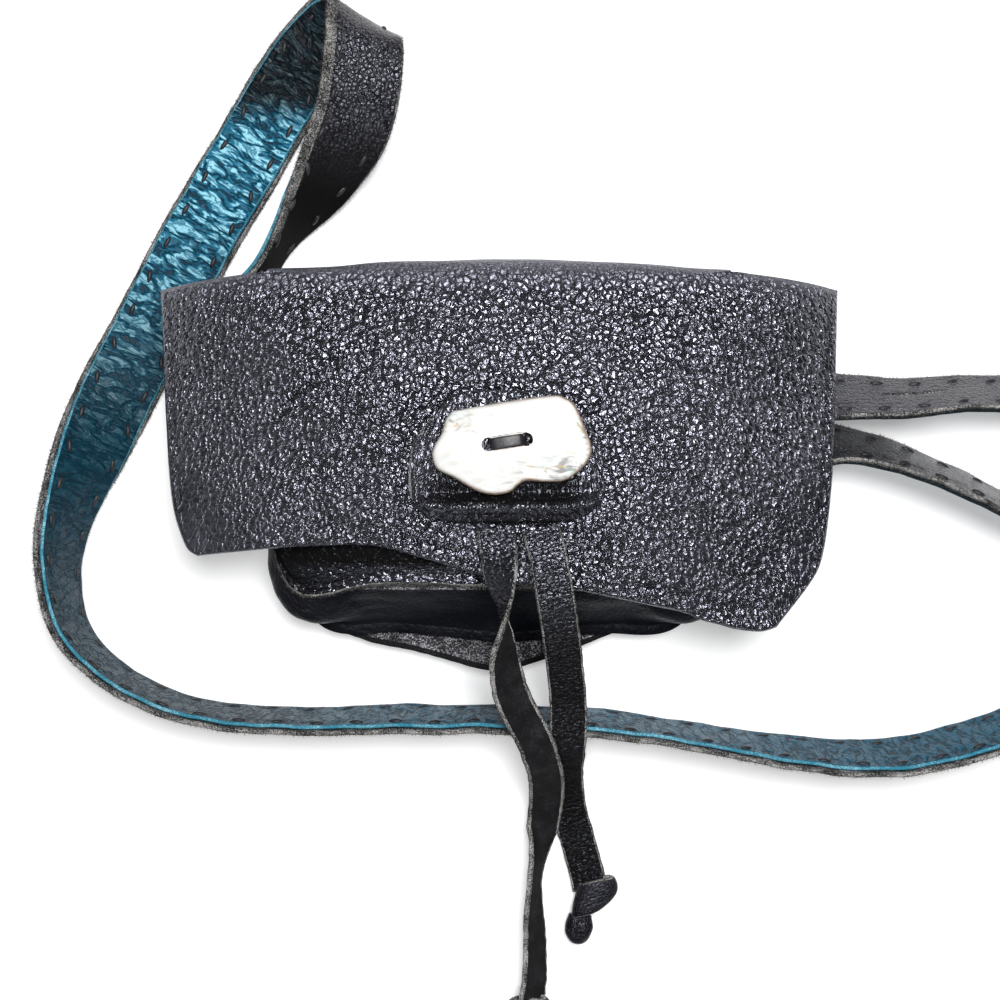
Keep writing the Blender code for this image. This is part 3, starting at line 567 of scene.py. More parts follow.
thread = plain_finish("waxed_thread", (0.012, 0.012, 0.016), 0.50, scale=0.3)
lace_leather = plain_finish("lace_leather", (0.016, 0.015, 0.020), 0.42, scale=0.6)
brass = plain_finish("brass", (0.60, 0.44, 0.19), 0.34, scale=2.0, Metallic=1.0)
print("plain finishes:", suede.name, cut_edge.name, thread.name, brass.name)

# %% [markdown]
# ### Shell
#
# Mother of pearl is white, with a clear polished coat. Thin growth lines show as streaks of gold,
# grey and pale green, mostly towards the lower right, and the ground rim is tan with fine lines.

# %% Shell finish
SHELL_WHITE, SHELL_GREY = (0.74, 0.735, 0.72), (0.30, 0.31, 0.31)
SHELL_GOLD, SHELL_GREEN = (0.52, 0.38, 0.18), (0.42, 0.62, 0.55)
SKIN_DARK, SKIN_LIGHT = (0.20, 0.13, 0.09), (0.55, 0.42, 0.32)


def shell_finish():
    finish = Finish("shell", Coat_Weight=0.6, Coat_Roughness=0.12, IOR=1.55)
    place = finish.here()
    x, y, z = (finish.axis(name) for name in "XYZ")
    moved = finish.shifted(place, finish.cloud(place, 9.0, 2.0, "Color"), 6.0)
    drawn = finish.vector("MULTIPLY", moved, (0.28, 1.0, 1.0))
    streak = finish.cloud(drawn, 1.5, 4.0, roughness=0.65)
    patch = finish.cloud(place, 7.0, 2.0)
    corner = (x - y * 0.9).between(13.0, 34.0)
    band = y.between(-7.5, -4.0) * (1 - y.between(-3.0, 0.5))
    amount = (corner * 1.6 + band * 0.9 + 0.18) * patch.between(0.30, 0.56)
    gold = streak.between(0.54, 0.68) * amount
    grey = finish.cloud(drawn, 1.6, 4.0).between(0.46, 0.66) * amount
    green = finish.cloud(moved, 4.0, 2.0).between(0.50, 0.70) * amount
    colour = finish.mix(grey, SHELL_WHITE, SHELL_GREY)
    colour = finish.mix(gold * 0.8, colour, SHELL_GOLD)
    colour = finish.mix(green * 0.5, colour, SHELL_GREEN)
    rim = (1 - z.between(47.0, 47.6)) * ((x - y * 0.9).between(-16.0, 18.0) * 0.8 + 0.2)
    lines = finish.cloud(finish.vector("MULTIPLY", place, (0.6, 0.6, 5.0)), 0.8, 3.0)
    skin = finish.mix(lines.between(0.35, 0.65), SKIN_DARK, SKIN_LIGHT)
    finish.set("Base Color", finish.mix(rim, colour, skin))
    finish.set("Roughness", streak * 0.12 + rim * 0.25 + 0.14)
    finish.relief(streak * 0.5 + patch * 0.5 + lines * rim * 0.5, 0.00010)
    return finish.material


shell = shell_finish()


# %% Frames along a flat strip
def strip_frames(points, widths, step):
    """Middle, run, line across and distance at even steps along a strip."""
    dense = np.linspace(0, 1, 60 * (len(points) - 1) + 1)
    travelled = travel(through(points, dense))
    count = max(2, round(travelled[-1] / step))
    distance = np.linspace(0, travelled[-1], count + 1)
    share = np.interp(distance, travelled, dense)
    middle = through(points, share)
    run = unit(np.gradient(middle, axis=0))
    across = through(widths, share)
    across = unit(across - run * np.sum(across * run, axis=1, keepdims=True))
    return middle, run, across, distance


# %% [markdown]
# ## Stitches and raw fibres
#
# A running stitch shows a short length of thread, goes under, and shows again. Every stitch is the
# same small spindle of thread, so a Geometry Nodes tree puts one on each point of a line, turned
# along the line and to the leather's face. The loose fibres of a raw edge are made the same way:
# thin cones scattered over the cut edge, each leaning its own way.

# %% Geometry Nodes helpers
class Recipe(Bench):
    """A Geometry Nodes tree with named inputs."""

    def __init__(self, name, inputs):
        super().__init__(bpy.data.node_groups.new(name, "GeometryNodeTree"))
        interface = self.tree.interface
        interface.new_socket("Geometry", in_out="INPUT", socket_type="NodeSocketGeometry")
        for label, kind in inputs.items():
            interface.new_socket(label, in_out="INPUT", socket_type=f"NodeSocket{kind}")
        interface.new_socket("Geometry", in_out="OUTPUT", socket_type="NodeSocketGeometry")
        self.source = self.tree.nodes.new("NodeGroupInput")
        self.result = self.tree.nodes.new("NodeGroupOutput")

    def given(self, label):
        return Wire(self, self.source.outputs[label])

    def put_out(self, instances, material):
        solid = self.node("GeometryNodeRealizeInstances", None, {"Geometry": instances})
        smooth = self.node("GeometryNodeSetShadeSmooth", None, {"Geometry": solid})
        coloured = self.node("GeometryNodeSetMaterial", None,
                             {"Geometry": smooth, "Material": material})
        self.feed(self.result, "Geometry", coloured)

    def build(self, name, source, body, **values):
        """Runs the tree on a mesh, and gives the result as a plain mesh that rides on body."""
        piece = add_piece(name, source)
        modifier = piece.modifiers.new("recipe", "NODES")
        modifier.node_group = self.tree
        for item in self.tree.interface.items_tree:
            if item.in_out == "INPUT" and item.name in values:
                modifier[item.identifier] = values[item.name]
        plain(piece)
        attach(piece, body)
        return piece


# %% Stitch and fibre trees
stitching = Recipe("running_stitch", {"Length": "Float", "Thickness": "Float", "Turn": "Float",
                                      "Seed": "Int", "Thread": "Material"})
spindle = stitching.node("GeometryNodeMeshUVSphere", None, {"Segments": 7, "Rings": 6,
                                                            "Radius": 0.5})
size = stitching.node("ShaderNodeCombineXYZ", None, {
    "X": stitching.given("Length"), "Y": stitching.given("Thickness"),
    "Z": stitching.given("Thickness")})
spindle = stitching.node("GeometryNodeTransform", None, {"Geometry": spindle, "Scale": size})
along, up = (stitching.node("GeometryNodeInputNamedAttribute", {"data_type": "FLOAT_VECTOR"},
                            {"Name": label}) for label in ("along", "up"))
facing = stitching.node("FunctionNodeAxesToRotation", {"primary_axis": "X", "secondary_axis": "Z"},
                        {0: along, 1: up})
turn = stitching.node("FunctionNodeRandomValue", {"data_type": "FLOAT"}, {
    2: stitching.given("Turn") * -0.3, 3: stitching.given("Turn"),
    "Seed": stitching.given("Seed")}, 1)
slant = stitching.node("FunctionNodeAxisAngleToRotation", None, {"Axis": (0.0, 0.0, 1.0),
                                                                 "Angle": turn})
facing = stitching.node("FunctionNodeRotateRotation", {"rotation_space": "LOCAL"},
                        {0: facing, 1: slant})
placed = stitching.node("GeometryNodeInstanceOnPoints", None, {
    "Points": stitching.given("Geometry"), "Instance": spindle, "Rotation": facing})
stitching.put_out(placed, stitching.given("Thread"))

fraying = Recipe("loose_fibres", {"Density": "Float", "Length": "Float", "Thickness": "Float",
                                  "Lean": "Float", "Seed": "Int", "Fibre": "Material"})
scattered = fraying.tree.nodes.new("GeometryNodeDistributePointsOnFaces")
for label, value in (("Mesh", "Geometry"), ("Density", "Density"), ("Seed", "Seed")):
    fraying.feed(scattered, label, fraying.given(value))
lean = fraying.node("FunctionNodeRandomValue", {"data_type": "FLOAT_VECTOR"}, {
    0: (-1.0, -1.0, -1.0), 1: (1.0, 1.0, 1.0), "Seed": fraying.given("Seed")}, 0)
lean = fraying.node("ShaderNodeVectorMath", {"operation": "SCALE"},
                    {0: lean, "Scale": fraying.given("Lean")})
aim = fraying.node("ShaderNodeVectorMath", {"operation": "ADD"},
                   {0: Wire(fraying, scattered.outputs["Normal"]), 1: lean})
facing = fraying.node("FunctionNodeAlignRotationToVector", {"axis": "Z"}, {"Vector": aim})
hair = fraying.node("GeometryNodeMeshCone", {"fill_type": "NONE"}, {
    "Vertices": 3, "Radius Top": 0.00002, "Radius Bottom": fraying.given("Thickness"),
    "Depth": fraying.given("Length")})
uneven = fraying.node("FunctionNodeRandomValue", {"data_type": "FLOAT"},
                      {2: 0.35, 3: 1.0, "Seed": fraying.given("Seed") + 1}, 1)
placed = fraying.node("GeometryNodeInstanceOnPoints", None, {
    "Points": Wire(fraying, scattered.outputs["Points"]), "Instance": hair, "Rotation": facing,
    "Scale": uneven})
fraying.put_out(placed, fraying.given("Fibre"))
print("recipes:", stitching.tree.name, fraying.tree.name)


# %% Sew and fray
def sew(name, body, runs, length, thickness, turn, seed):
    """Stitches at places, each run being (places, directions along, directions up)."""
    mesh = bpy.data.meshes.new(name)
    places, along, up = (np.concatenate(part) for part in zip(*runs))
    mesh.from_pydata((places - up * thickness * 0.12).tolist(), [], [])
    for label, values in (("along", along), ("up", up)):
        layer = mesh.attributes.new(label, "FLOAT_VECTOR", "POINT")
        layer.data.foreach_set("vector", values.astype(np.float32).ravel())
    return stitching.build(name, mesh, body, Length=length, Thickness=thickness, Turn=turn,
                           Seed=seed, Thread=thread)


def fray(piece, body, density, length, thickness, lean, seed):
    """Loose fibres on the cut edges of a plain piece."""
    faces = bmesh.new()
    faces.from_mesh(piece.data)
    bmesh.ops.delete(faces, geom=[face for face in faces.faces if face.material_index != CUT_EDGE],
                     context="FACES")
    mesh = bpy.data.meshes.new(f"{piece.name}_fray")
    faces.to_mesh(mesh)
    faces.free()
    mesh.materials.clear()
    return fraying.build(f"{piece.name}_fray", mesh, body, Density=density, Length=length,
                         Thickness=thickness, Lean=lean, Seed=seed, Fibre=loose_fibre)


def stations(line, up, pitch):
    """Places, directions and ups of stitches along a line of points."""
    travelled = travel(line)
    goals = np.arange(0.5 * pitch, travelled[-1], pitch)
    place, along, out = (joined(*(np.interp(goals, travelled, axis) for axis in part.T))
                         for part in (line, unit(np.gradient(line, axis=0)), up))
    return place, unit(along), unit(out)


def normals(points):
    """Directions out of a grid's faces, at its points."""
    down, over = np.gradient(points, axis=0), np.gradient(points, axis=1)
    return unit(np.cross(down, over))


# %% [markdown]
# ## The strap
#
# Two straps of leather are sewn together back to back: black outside and teal inside. The black one
# is cut a little wider, so its suede margin shows past the teal one, and both edges are left raw.
# The route repeats the one that the solids have: for each station the middle, the lift off the
# table, the heading of the line across the strap and its slope. Both layers share one wandering
# surface, so they stay together where the strap turns and twists.

# %% Strap route
STRAP_WIDTH, STRAP_LAYER, GAP = 0.0220, 0.0012, 0.0003
UNDER_BAG = STRAP_LAYER + GAP
# Stations from the free tip on: x, y and lift in metres, heading and slope in degrees.
STRAP_ROUTE = (
    (0.1760, 0.0040, 0.0002, -90, 60), (0.1580, 0.0060, 0.0002, -90, 62),
    (0.1400, 0.0062, 0.0002, -90, 62), (0.1287, 0.0062, 0.0002, -90, 62),
    (0.1144, 0.0051, 0.0002, -90, 60), (0.1030, 0.0052, 0.0002, -90, 57),
    (0.0940, 0.0054, 0.0002, -90, 52), (0.0850, 0.0062, 0.0002, -90, 44),
    (0.0760, 0.0078, 0.0003, -90, 32), (0.0680, 0.0096, 0.0008, -90, 17),
    (0.0600, 0.0112, 0.0011, -90, 5), (0.0530, 0.0120, 0.0015, -90, 0),
    (0.0450, 0.0120, UNDER_BAG, -90, 0), (0.0200, 0.0120, UNDER_BAG, -90, 0),
    (-0.0200, 0.0120, UNDER_BAG, -90, 0), (-0.0450, 0.0120, 0.0012, -90, 0),
    (-0.0550, 0.0120, 0.0004, -90, 1), (-0.0620, 0.0126, 0.0003, -95, 8),
    (-0.0685, 0.0150, 0.0003, -120, 30), (-0.0725, 0.0200, 0.0003, -150, 52),
    (-0.0738, 0.0262, 0.0003, 185, 68), (-0.0715, 0.0330, 0.0003, 165, 80),
    (-0.0658, 0.0409, 0.0003, 150, 88),
    (-0.0602, 0.0504, 0.0003, 150, 84), (-0.0537, 0.0600, 0.0010, 138, 64),
    (-0.0478, 0.0683, 0.0036, 138, 45), (-0.0434, 0.0757, 0.0078, 148, 27),
    (-0.0402, 0.0830, 0.0110, 160, 15), (-0.0383, 0.0916, 0.0130, 166, 11),
    (-0.0376, 0.0980, 0.0135, 170, 11), (-0.0375, 0.1050, 0.0112, 176, 23),
    (-0.0403, 0.1120, 0.0020, 152, 36), (-0.0475, 0.1088, 0.0008, 138, 12),
    (-0.0540, 0.1030, 0.0005, 145, 3), (-0.0600, 0.0950, 0.0003, 149, 1),
    (-0.0695, 0.0790, 0.0002, 149, 2), (-0.0775, 0.0655, 0.0002, 149, 3),
    (-0.0855, 0.0519, 0.0002, 150, 4),
    (-0.0925, 0.0386, 0.0002, 151, 5), (-0.0991, 0.0254, 0.0002, 153, 8),
    (-0.1055, 0.0130, 0.0002, 155, 13), (-0.1112, 0.0000, 0.0002, 157, 24),
    (-0.1165, -0.0140, 0.0002, 158, 46), (-0.1210, -0.0283, 0.0002, 162, 63),
    (-0.1228, -0.0431, 0.0002, 172, 74), (-0.1197, -0.0585, 0.0002, 200, 82),
    (-0.1106, -0.0695, 0.0002, 230, 85), (-0.0982, -0.0775, 0.0002, 245, 85),
    (-0.0852, -0.0820, 0.0002, 257, 85), (-0.0700, -0.0843, 0.0002, 265, 84),
    (-0.0500, -0.0845, 0.0002, 270, 83), (-0.0273, -0.0841, 0.0002, 270, 81),
    (0.0018, -0.0845, 0.0002, 270, 82), (0.0309, -0.0857, 0.0002, 270, 82),
    (0.0585, -0.0898, 0.0002, 268, 82), (0.0873, -0.0942, 0.0002, 268, 77),
    (0.1024, -0.0950, 0.0002, 270, 76), (0.1174, -0.0937, 0.0002, 274, 75),
    (0.1321, -0.0900, 0.0002, 282, 75), (0.1480, -0.0838, 0.0002, 298, 78),
    (0.1620, -0.0730, 0.0002, 325, 82), (0.1680, -0.0580, 0.0002, 0, 90),
    (0.1640, -0.0430, 0.0002, 210, 84), (0.1530, -0.0310, 0.0002, 236, 76),
    (0.1397, -0.0242, 0.0002, 246, 70), (0.1301, -0.0194, 0.0002, 250, 69),
    (0.1185, -0.0144, 0.0002, 252, 69), (0.1074, -0.0102, 0.0002, 256, 66),
    (0.0959, -0.0079, 0.0002, 262, 62), (0.0870, -0.0079, 0.0002, 268, 50),
    (0.0780, -0.0087, 0.0002, 270, 34), (0.0690, -0.0103, 0.0006, 270, 17),
    (0.0600, -0.0117, 0.0008, 270, 5), (0.0530, -0.0122, 0.0013, 270, 0),
    (0.0450, -0.0122, UNDER_BAG, 270, 0),
    (0.0060, -0.0122, UNDER_BAG, 270, 0),
)


def strap_strip(step):
    x, y, lift, heading, slope = np.array(STRAP_ROUTE).T
    heading, slope = np.radians(heading), np.radians(slope)
    stand = STRAP_WIDTH / 2 * np.sin(slope) + (STRAP_LAYER + GAP / 2) * np.cos(slope)
    widths = np.column_stack([np.cos(slope) * np.cos(heading), np.cos(slope) * np.sin(heading),
                              np.sin(slope)])
    return strip_frames(np.column_stack([x, y, lift + stand]), widths, step)


strap_middle, strap_run, strap_across, strap_distance = strap_strip(0.0013)
strap_grain = np.cross(strap_run, strap_across)
print("strap length", round(float(strap_distance[-1]), 3), "rows", len(strap_distance))

# %% Strap surface
SLIT_LENGTH, STUD_X = 0.0180, 0.0455
stud_distance = strap_distance[np.argmax(strap_middle[:, 0] < STUD_X)]
# Each slit's middle, as its distance from the free tip, and half its opening.
SLITS = ((0.0240, 0.00035), (0.0600, 0.00040), (stud_distance, 0.00230))
STITCH_PITCH, STITCH_PLACE = 0.0108, 0.0070
BAG_HALF_WIDTH, BAG_LOW_Y, BAG_HIGH_Y = 0.064, -0.035, 0.045
ON_TABLE = 0.0001
LAYER_LIFT, STITCH_DIP, EDGE_DROP = 0.00135, 0.00040, 0.0005


def slit_opening(distance):
    """Half the width of the slits, at distances from the free tip."""
    return sum(half * np.sqrt(np.clip(1 - ((distance - place) / (SLIT_LENGTH / 2)) ** 2, 0, 1))
               for place, half in SLITS)


def off_bag(points):
    """0 where the strap runs under the bag, and 1 a little outside it."""
    x, y = points[..., 0], points[..., 1]
    aside = np.maximum(np.abs(x) - BAG_HALF_WIDTH, 0)
    beyond = np.maximum(np.maximum(y - BAG_HIGH_Y, BAG_LOW_Y - y), 0)
    return ease(0.0, 0.014, np.hypot(aside, beyond))


def strap_side(facing, half_width, ragged, columns=9):
    """Points, flat places and raw cells of one layer: facing is 1 for black and -1 for teal."""
    half = np.concatenate([[-1.0, -0.945], np.linspace(-0.87, 0, columns - 2)])
    side = np.concatenate([half, -half[::-1]])
    distance = strap_distance[:, None]
    free = off_bag(strap_middle)[:, None]
    edge = joined(distance, np.sign(side)[None, :] + 5.0 * facing) * (1, 0.01)
    uneven = 0.65 * clouds(edge, 0.0085, 1.0) + 0.35 * clouds(edge, 0.0021, 4.0)
    place = side * (half_width + free * ragged * uneven)
    apart = np.where(np.arange(len(side)) < columns, -1.0, 1.0)
    place = place + apart * slit_opening(distance) * hump(np.abs(side), 0, 0.28)
    flat = joined(distance, place)
    wave = (0.00050 * clouds(flat * (1, 0.45), 0.0120, 2.0)
            + 0.00022 * clouds(flat * (1, 0.60), 0.0050, 5.0))
    pull = hump(distance / STITCH_PITCH % 1.0, 0.5, 0.20)
    pull = pull * hump(np.abs(place), STITCH_PLACE, 0.0011)
    height = LAYER_LIFT + free * (facing * wave - STITCH_DIP * pull)
    height = height - EDGE_DROP * (np.abs(side) > 0.99)
    points = (strap_middle[:, None] + strap_across[:, None] * place[..., None]
              + strap_grain[:, None] * (facing * height)[..., None])
    points[..., 2] = np.maximum(points[..., 2], ON_TABLE)
    return points, joined(place, distance), side


def strap_layer(name, facing, points, uv, materials, node, raw_cells=None, columns=9):
    """The layer's leather, whose two halves are joined but for the slits."""
    keep = np.ones((points.shape[0] - 1, points.shape[1] - 1), bool)
    keep[:, columns - 1] = False
    mesh = sheet_mesh(name, points, uv, flip=facing < 0, keep=keep, raw=("left", "right"),
                      raw_cells=raw_cells)
    rework(mesh, lambda cells: bmesh.ops.remove_doubles(cells, verts=cells.verts, dist=0.000002))
    layer = plain(thicken(add_piece(name, mesh, *materials), STRAP_LAYER))
    hand_over(layer, "pouch", node)
    return layer


# %% Make the strap's two layers
outer_points, outer_uv, sides = strap_side(1, STRAP_WIDTH / 2, 0.00030)
lining_points, lining_uv, _ = strap_side(-1, 0.0099, 0.00045)
# Where the strap turns over at the upper left, its left edge shows a broad band of cut leather.
turned = ((strap_middle[:, 1] > 0.040) & (strap_middle[:, 0] < -0.02)
          & (strap_grain[:, 2] > 0.05))[:, None]
leftmost = sides * np.sign(-strap_across[:, :1]) > 0.71
wide_edge = (turned & leftmost)[:-1, :-1] & leftmost[:-1, 1:]
strap_outer = strap_layer("strap_outer_leather", 1, outer_points, outer_uv,
                          (strap_grain_leather, suede, cut_edge), "strap_outer",
                          wide_edge)
strap_lining = strap_layer("strap_lining_leather", -1, lining_points, lining_uv,
                           (teal_grain, teal_edge, teal_edge), "strap_lining")
print("strap faces", len(strap_outer.data.polygons), len(strap_lining.data.polygons))


# %% Sew and fray the strap
def strap_rows(facing, points):
    """The two rows of stitches of one layer."""
    aside = np.einsum("rcx,rx->rc", points - strap_middle[:, None], strap_across)
    rows = np.arange(len(points))
    for place in (-STITCH_PLACE, STITCH_PLACE):
        share = np.array([np.interp(place, row, np.arange(len(row))) for row in aside])
        first = np.clip(share.astype(int), 0, points.shape[1] - 2)
        part = (share - first)[:, None]
        line = points[rows, first] * (1 - part) + points[rows, first + 1] * part
        yield stations(line, facing * strap_grain, STITCH_PITCH)


strap_runs = [*strap_rows(1, outer_points), *strap_rows(-1, lining_points)]
sew("strap_stitches", "pouch", strap_runs, length=0.0043, thickness=0.00150, turn=0.55, seed=3)
strap_fray = fray(strap_outer, "pouch", density=7.0e6, length=0.00105, thickness=0.00007,
                  lean=1.3, seed=2)
print("strap stitches", sum(len(run[0]) for run in strap_runs),
      "fibre faces", len(strap_fray.data.polygons))

# %% [markdown]
# ## The ties
#
# One leather lace holds the button. Its two tails come out from under the patch and hang over the
# hem, cross the strap and lie on the table. A flat lace can't bend sideways, so its twists are
# given point by point: x, y and z in metres, and the turn of the line across it in degrees.

# %% Frames of a tie
def tie_strip(route, step=0.0010):
    points = np.array([point[:3] for point in route])
    run = unit(np.gradient(points, axis=0))
    left = unit(np.cross(run, (0, 0, 1)))
    turn = np.radians([point[3] for point in route])[:, None]
    widths = left * np.cos(turn) + np.cross(run, left) * np.sin(turn)
    return strip_frames(points, widths, step)


# %% Tie routes
TIE_WIDTH = 0.0100
TIE_THICK = 0.0014
LEFT_TIE_ROUTE = (
    (-0.0008, -0.0306, 0.0426, 0), (-0.0004, -0.0360, 0.0425, 6), (0.0002, -0.0425, 0.0440, 30),
    (0.0004, -0.0490, 0.0430, 62), (0.0005, -0.0560, 0.0395, 100), (0.0010, -0.0640, 0.0350, 140),
    (0.0026, -0.0735, 0.0302, 165), (0.0054, -0.0804, 0.0282, 174), (0.0088, -0.0866, 0.0273, 178),
    (0.0110, -0.0925, 0.0258, 180), (0.0125, -0.0985, 0.0196, 180), (0.0131, -0.1060, 0.0102, 178),
    (0.0124, -0.1145, 0.0046, 165), (0.0110, -0.1225, 0.0058, 124), (0.0097, -0.1310, 0.0058, 112),
    (0.0095, -0.1400, 0.0051, 122), (0.0098, -0.1480, 0.0047, 129), (0.0099, -0.1560, 0.0042, 134),
    (0.0094, -0.1633, 0.0036, 140), (0.0088, -0.1655, 0.0034, 142),
)
RIGHT_TIE_ROUTE = (
    (0.0106, -0.0306, 0.0426, 0), (0.0120, -0.0365, 0.0419, 0), (0.0134, -0.0430, 0.0410, 0),
    (0.0145, -0.0495, 0.0400, 0), (0.0156, -0.0562, 0.0368, 0), (0.0170, -0.0659, 0.0318, 0),
    (0.0180, -0.0744, 0.0276, 0), (0.0184, -0.0805, 0.0255, 0), (0.0184, -0.0866, 0.0248, 0),
    (0.0181, -0.0922, 0.0222, 0), (0.0181, -0.0985, 0.0142, 0), (0.0188, -0.1060, 0.0062, 0),
    (0.0201, -0.1130, 0.0018, 0), (0.0222, -0.1205, 0.0012, 2), (0.0242, -0.1275, 0.0015, 6),
    (0.0250, -0.1308, 0.0017, 6),
    (0.0256, -0.1338, 0.0029, 6),
)


# %% Make the ties
TIE_SIDES = np.array([-0.5, -0.44, -0.36, -0.27, -0.18, -0.09, 0.0, 0.09, 0.18, 0.27, 0.36,
                      0.44, 0.5])


def make_tie(name, route, node):
    """Tie whose grain side faces up where its turn is 0, with creases across it."""
    middle, run, across, distance = tie_strip(route)
    grain = np.cross(run, across)
    facing = -1 if grain[0][2] < 0 else 1
    side = TIE_SIDES[None, :]
    uv = joined(side * TIE_WIDTH, distance[:, None])
    wavy = clouds(uv * (0.35, 1.0), 0.0022, 3.0) * 0.00022
    ragged = clouds(uv + 0.3, 0.0016, 9.0) * 0.00022 * (np.abs(side) * 2) ** 6
    out = TIE_THICK / 2 + wavy - EDGE_DROP * (np.abs(side) > 0.49)
    points = (middle[:, None] + across[:, None] * (side * TIE_WIDTH + ragged)[..., None]
              + facing * grain[:, None] * out[..., None])
    points[..., 2] = np.maximum(points[..., 2], ON_TABLE)
    tie = cut_leather(name, points, (tie_grain, tie_back, cut_edge), TIE_THICK, uv,
                      flip=facing < 0, raw=("left", "right"))
    hand_over(tie, "flap", node)
    return tie, middle, distance[-1]


left_tie, left_line, left_length = make_tie("left_tie", LEFT_TIE_ROUTE, "tie_left")
right_tie, right_line, right_length = make_tie("right_tie", RIGHT_TIE_ROUTE, "tie_right")
print("tie lengths", round(left_length, 4), round(right_length, 4))

# %% [markdown]
# ## The shape of the bag
#
# The front of the bag is one crowned surface: the flap lies on it, the lining and the front panel
# follow it below, and the patch above. So one function gives the height of the flap's outer face,
# the same one that the solids have, and every layer is measured from it. A second function adds the
# soft wandering of real leather to all the layers at once, so that none goes through another.

# %% Heights of the front
HINGE_Y = 0.0330
FLAP_HALF_WIDTH, FLAP_CROWN, FLAP_FOLD_HEIGHT, WING_HEIGHT = 0.0915, 0.0420, 0.0386, 0.0262
HEM_DROP, HEM_DROP_SPAN = 0.0030, (-0.018, -0.055)
FLAP_THICK, LINING_THICK, PANEL_THICK, PATCH_THICK = 0.0012, 0.0008, 0.0013, 0.0013
SNAP_CENTRE = (0.0015, -0.0130)


def flap_top(x, y):
    """Height of the flap's outer face."""
    fold = ease(0.002, HINGE_Y, y)
    crown = FLAP_CROWN + (FLAP_FOLD_HEIGHT - FLAP_CROWN) * fold - HEM_DROP * ease(*HEM_DROP_SPAN, y)
    reach = np.minimum(1.0, np.abs(x) / FLAP_HALF_WIDTH)
    side = (1 - fold) * reach ** 2.4 + fold * reach ** 6
    return crown - (crown - WING_HEIGHT) * side


def wander(x, y):
    """Soft unevenness that all the layers of the front share, none near the snap."""
    place = joined(x, y)
    away = ease(0.011, 0.024, np.hypot(x - SNAP_CENTRE[0], y - SNAP_CENTRE[1]))
    return away * (0.00060 * clouds(place, 0.026, 3.0) + 0.00030 * clouds(place, 0.0110, 8.0))


def away_from(x, y, line):
    """Distance of points from a line of straight pieces."""
    nearest = np.full(np.shape(x), np.inf)
    for (ax, ay), (bx, by) in zip(line, line[1:]):
        run = np.array([bx - ax, by - ay])
        share = np.clip(((x - ax) * run[0] + (y - ay) * run[1]) / (run @ run), 0, 1)
        nearest = np.minimum(nearest, np.hypot(x - ax - share * run[0], y - ay - share * run[1]))
    return nearest


def spread(length, edge, fine, coarse, both=True):
    """Shares from 0 to 1, closer together near the far edge, or near both edges."""
    finish = np.arange(0, edge, fine)
    count = max(2, round((length - edge * (2 if both else 1)) / coarse))
    start = finish if both else np.array([])
    middle = np.linspace(edge if both else 0, length - edge, count)
    return np.concatenate([start, middle, (length - finish)[::-1]]) / length


# %% [markdown]
# ## The flap and the spine
#
# The flap, the fold and the spine are one piece of leather. Its outline isn't a rectangle: the left
# side hangs lower than the right, the hem runs down to the right and the lower right corner is cut
# off slantwise. A Coons patch fills the space between four such border lines with an even grid. The
# spine's rows carry the same grid on, over the fold and down the back, only as wide as the pouch.

# %% Flap outline
FOLD_Y, FOLD_SIDE_RISE, FOLD_SIDE_DROP = 0.0345, 0.0020, 0.0033
FLAP_LEFT = ((-0.0914, 0.0331), (-0.0904, 0.0130), (-0.0897, -0.0030), (-0.0887, -0.0179),
             (-0.0876, -0.0260), (-0.0860, -0.0314), (-0.0836, -0.0364), (-0.0806, -0.0382))
FLAP_HEM = ((-0.0806, -0.0382), (-0.0690, -0.0370), (-0.0578, -0.0359), (-0.0460, -0.0353),
            (-0.0330, -0.0353), (-0.0213, -0.0381), (-0.0099, -0.0415), (-0.0010, -0.0440),
            (0.0078, -0.0460), (0.0185, -0.0466), (0.0304, -0.0490), (0.0407, -0.0512),
            (0.0483, -0.0529), (0.0532, -0.0550), (0.0578, -0.0562), (0.0625, -0.0575),
            (0.0690, -0.0582), (0.0735, -0.0572))
FLAP_RIGHT = ((0.0909, 0.0331), (0.0905, 0.0180), (0.0901, 0.0036), (0.0895, -0.0125),
              (0.0887, -0.0240), (0.0874, -0.0340), (0.0855, -0.0413), (0.0823, -0.0464),
              (0.0778, -0.0520), (0.0735, -0.0572))
STITCH_IN_HEM, STITCH_IN_SIDE = 0.0052, 0.0024
CREASE = ((-0.0595, -0.0026), (-0.0558, -0.0003), (-0.0501, 0.0080), (-0.0443, 0.0125),
          (-0.0385, 0.0155), (-0.0330, 0.0172))

across = spread(0.182, 0.008, 0.0005, 0.0014)
down = spread(0.080, 0.009, 0.0005, 0.0013, both=False)


def coons(top, bottom, left, right):
    """Points between four border lines, all (points, 2), that meet at their ends."""
    u, v = across[None, :, None], down[:, None, None]
    flat = (1 - v) * top[None] + v * bottom[None] + (1 - u) * left[:, None] + u * right[:, None]
    corners = ((1 - u) * (1 - v) * top[0] + u * (1 - v) * top[-1]
               + (1 - u) * v * bottom[0] + u * v * bottom[-1])
    return flat - corners


def along_line(line, shares):
    """Points at shares of the length of the smooth line through points."""
    even = evenly(line, 400)
    return np.column_stack([np.interp(shares, np.linspace(0, 1, 400), even[:, axis])
                            for axis in range(2)])


top_x = FLAP_LEFT[0][0] + (FLAP_RIGHT[0][0] - FLAP_LEFT[0][0]) * across
beyond_pouch = np.clip((np.abs(top_x) - 0.061) / 0.0304, 0, 1) ** 1.2
top_line = np.column_stack([top_x, FOLD_Y + FOLD_SIDE_RISE * ease(0.040, 0.061, np.abs(top_x))
                            - FOLD_SIDE_DROP * beyond_pouch])
flap_xy = coons(top_line, along_line(FLAP_HEM, across), along_line(FLAP_LEFT, down),
                along_line(FLAP_RIGHT, down))
print("flap grid", flap_xy.shape)

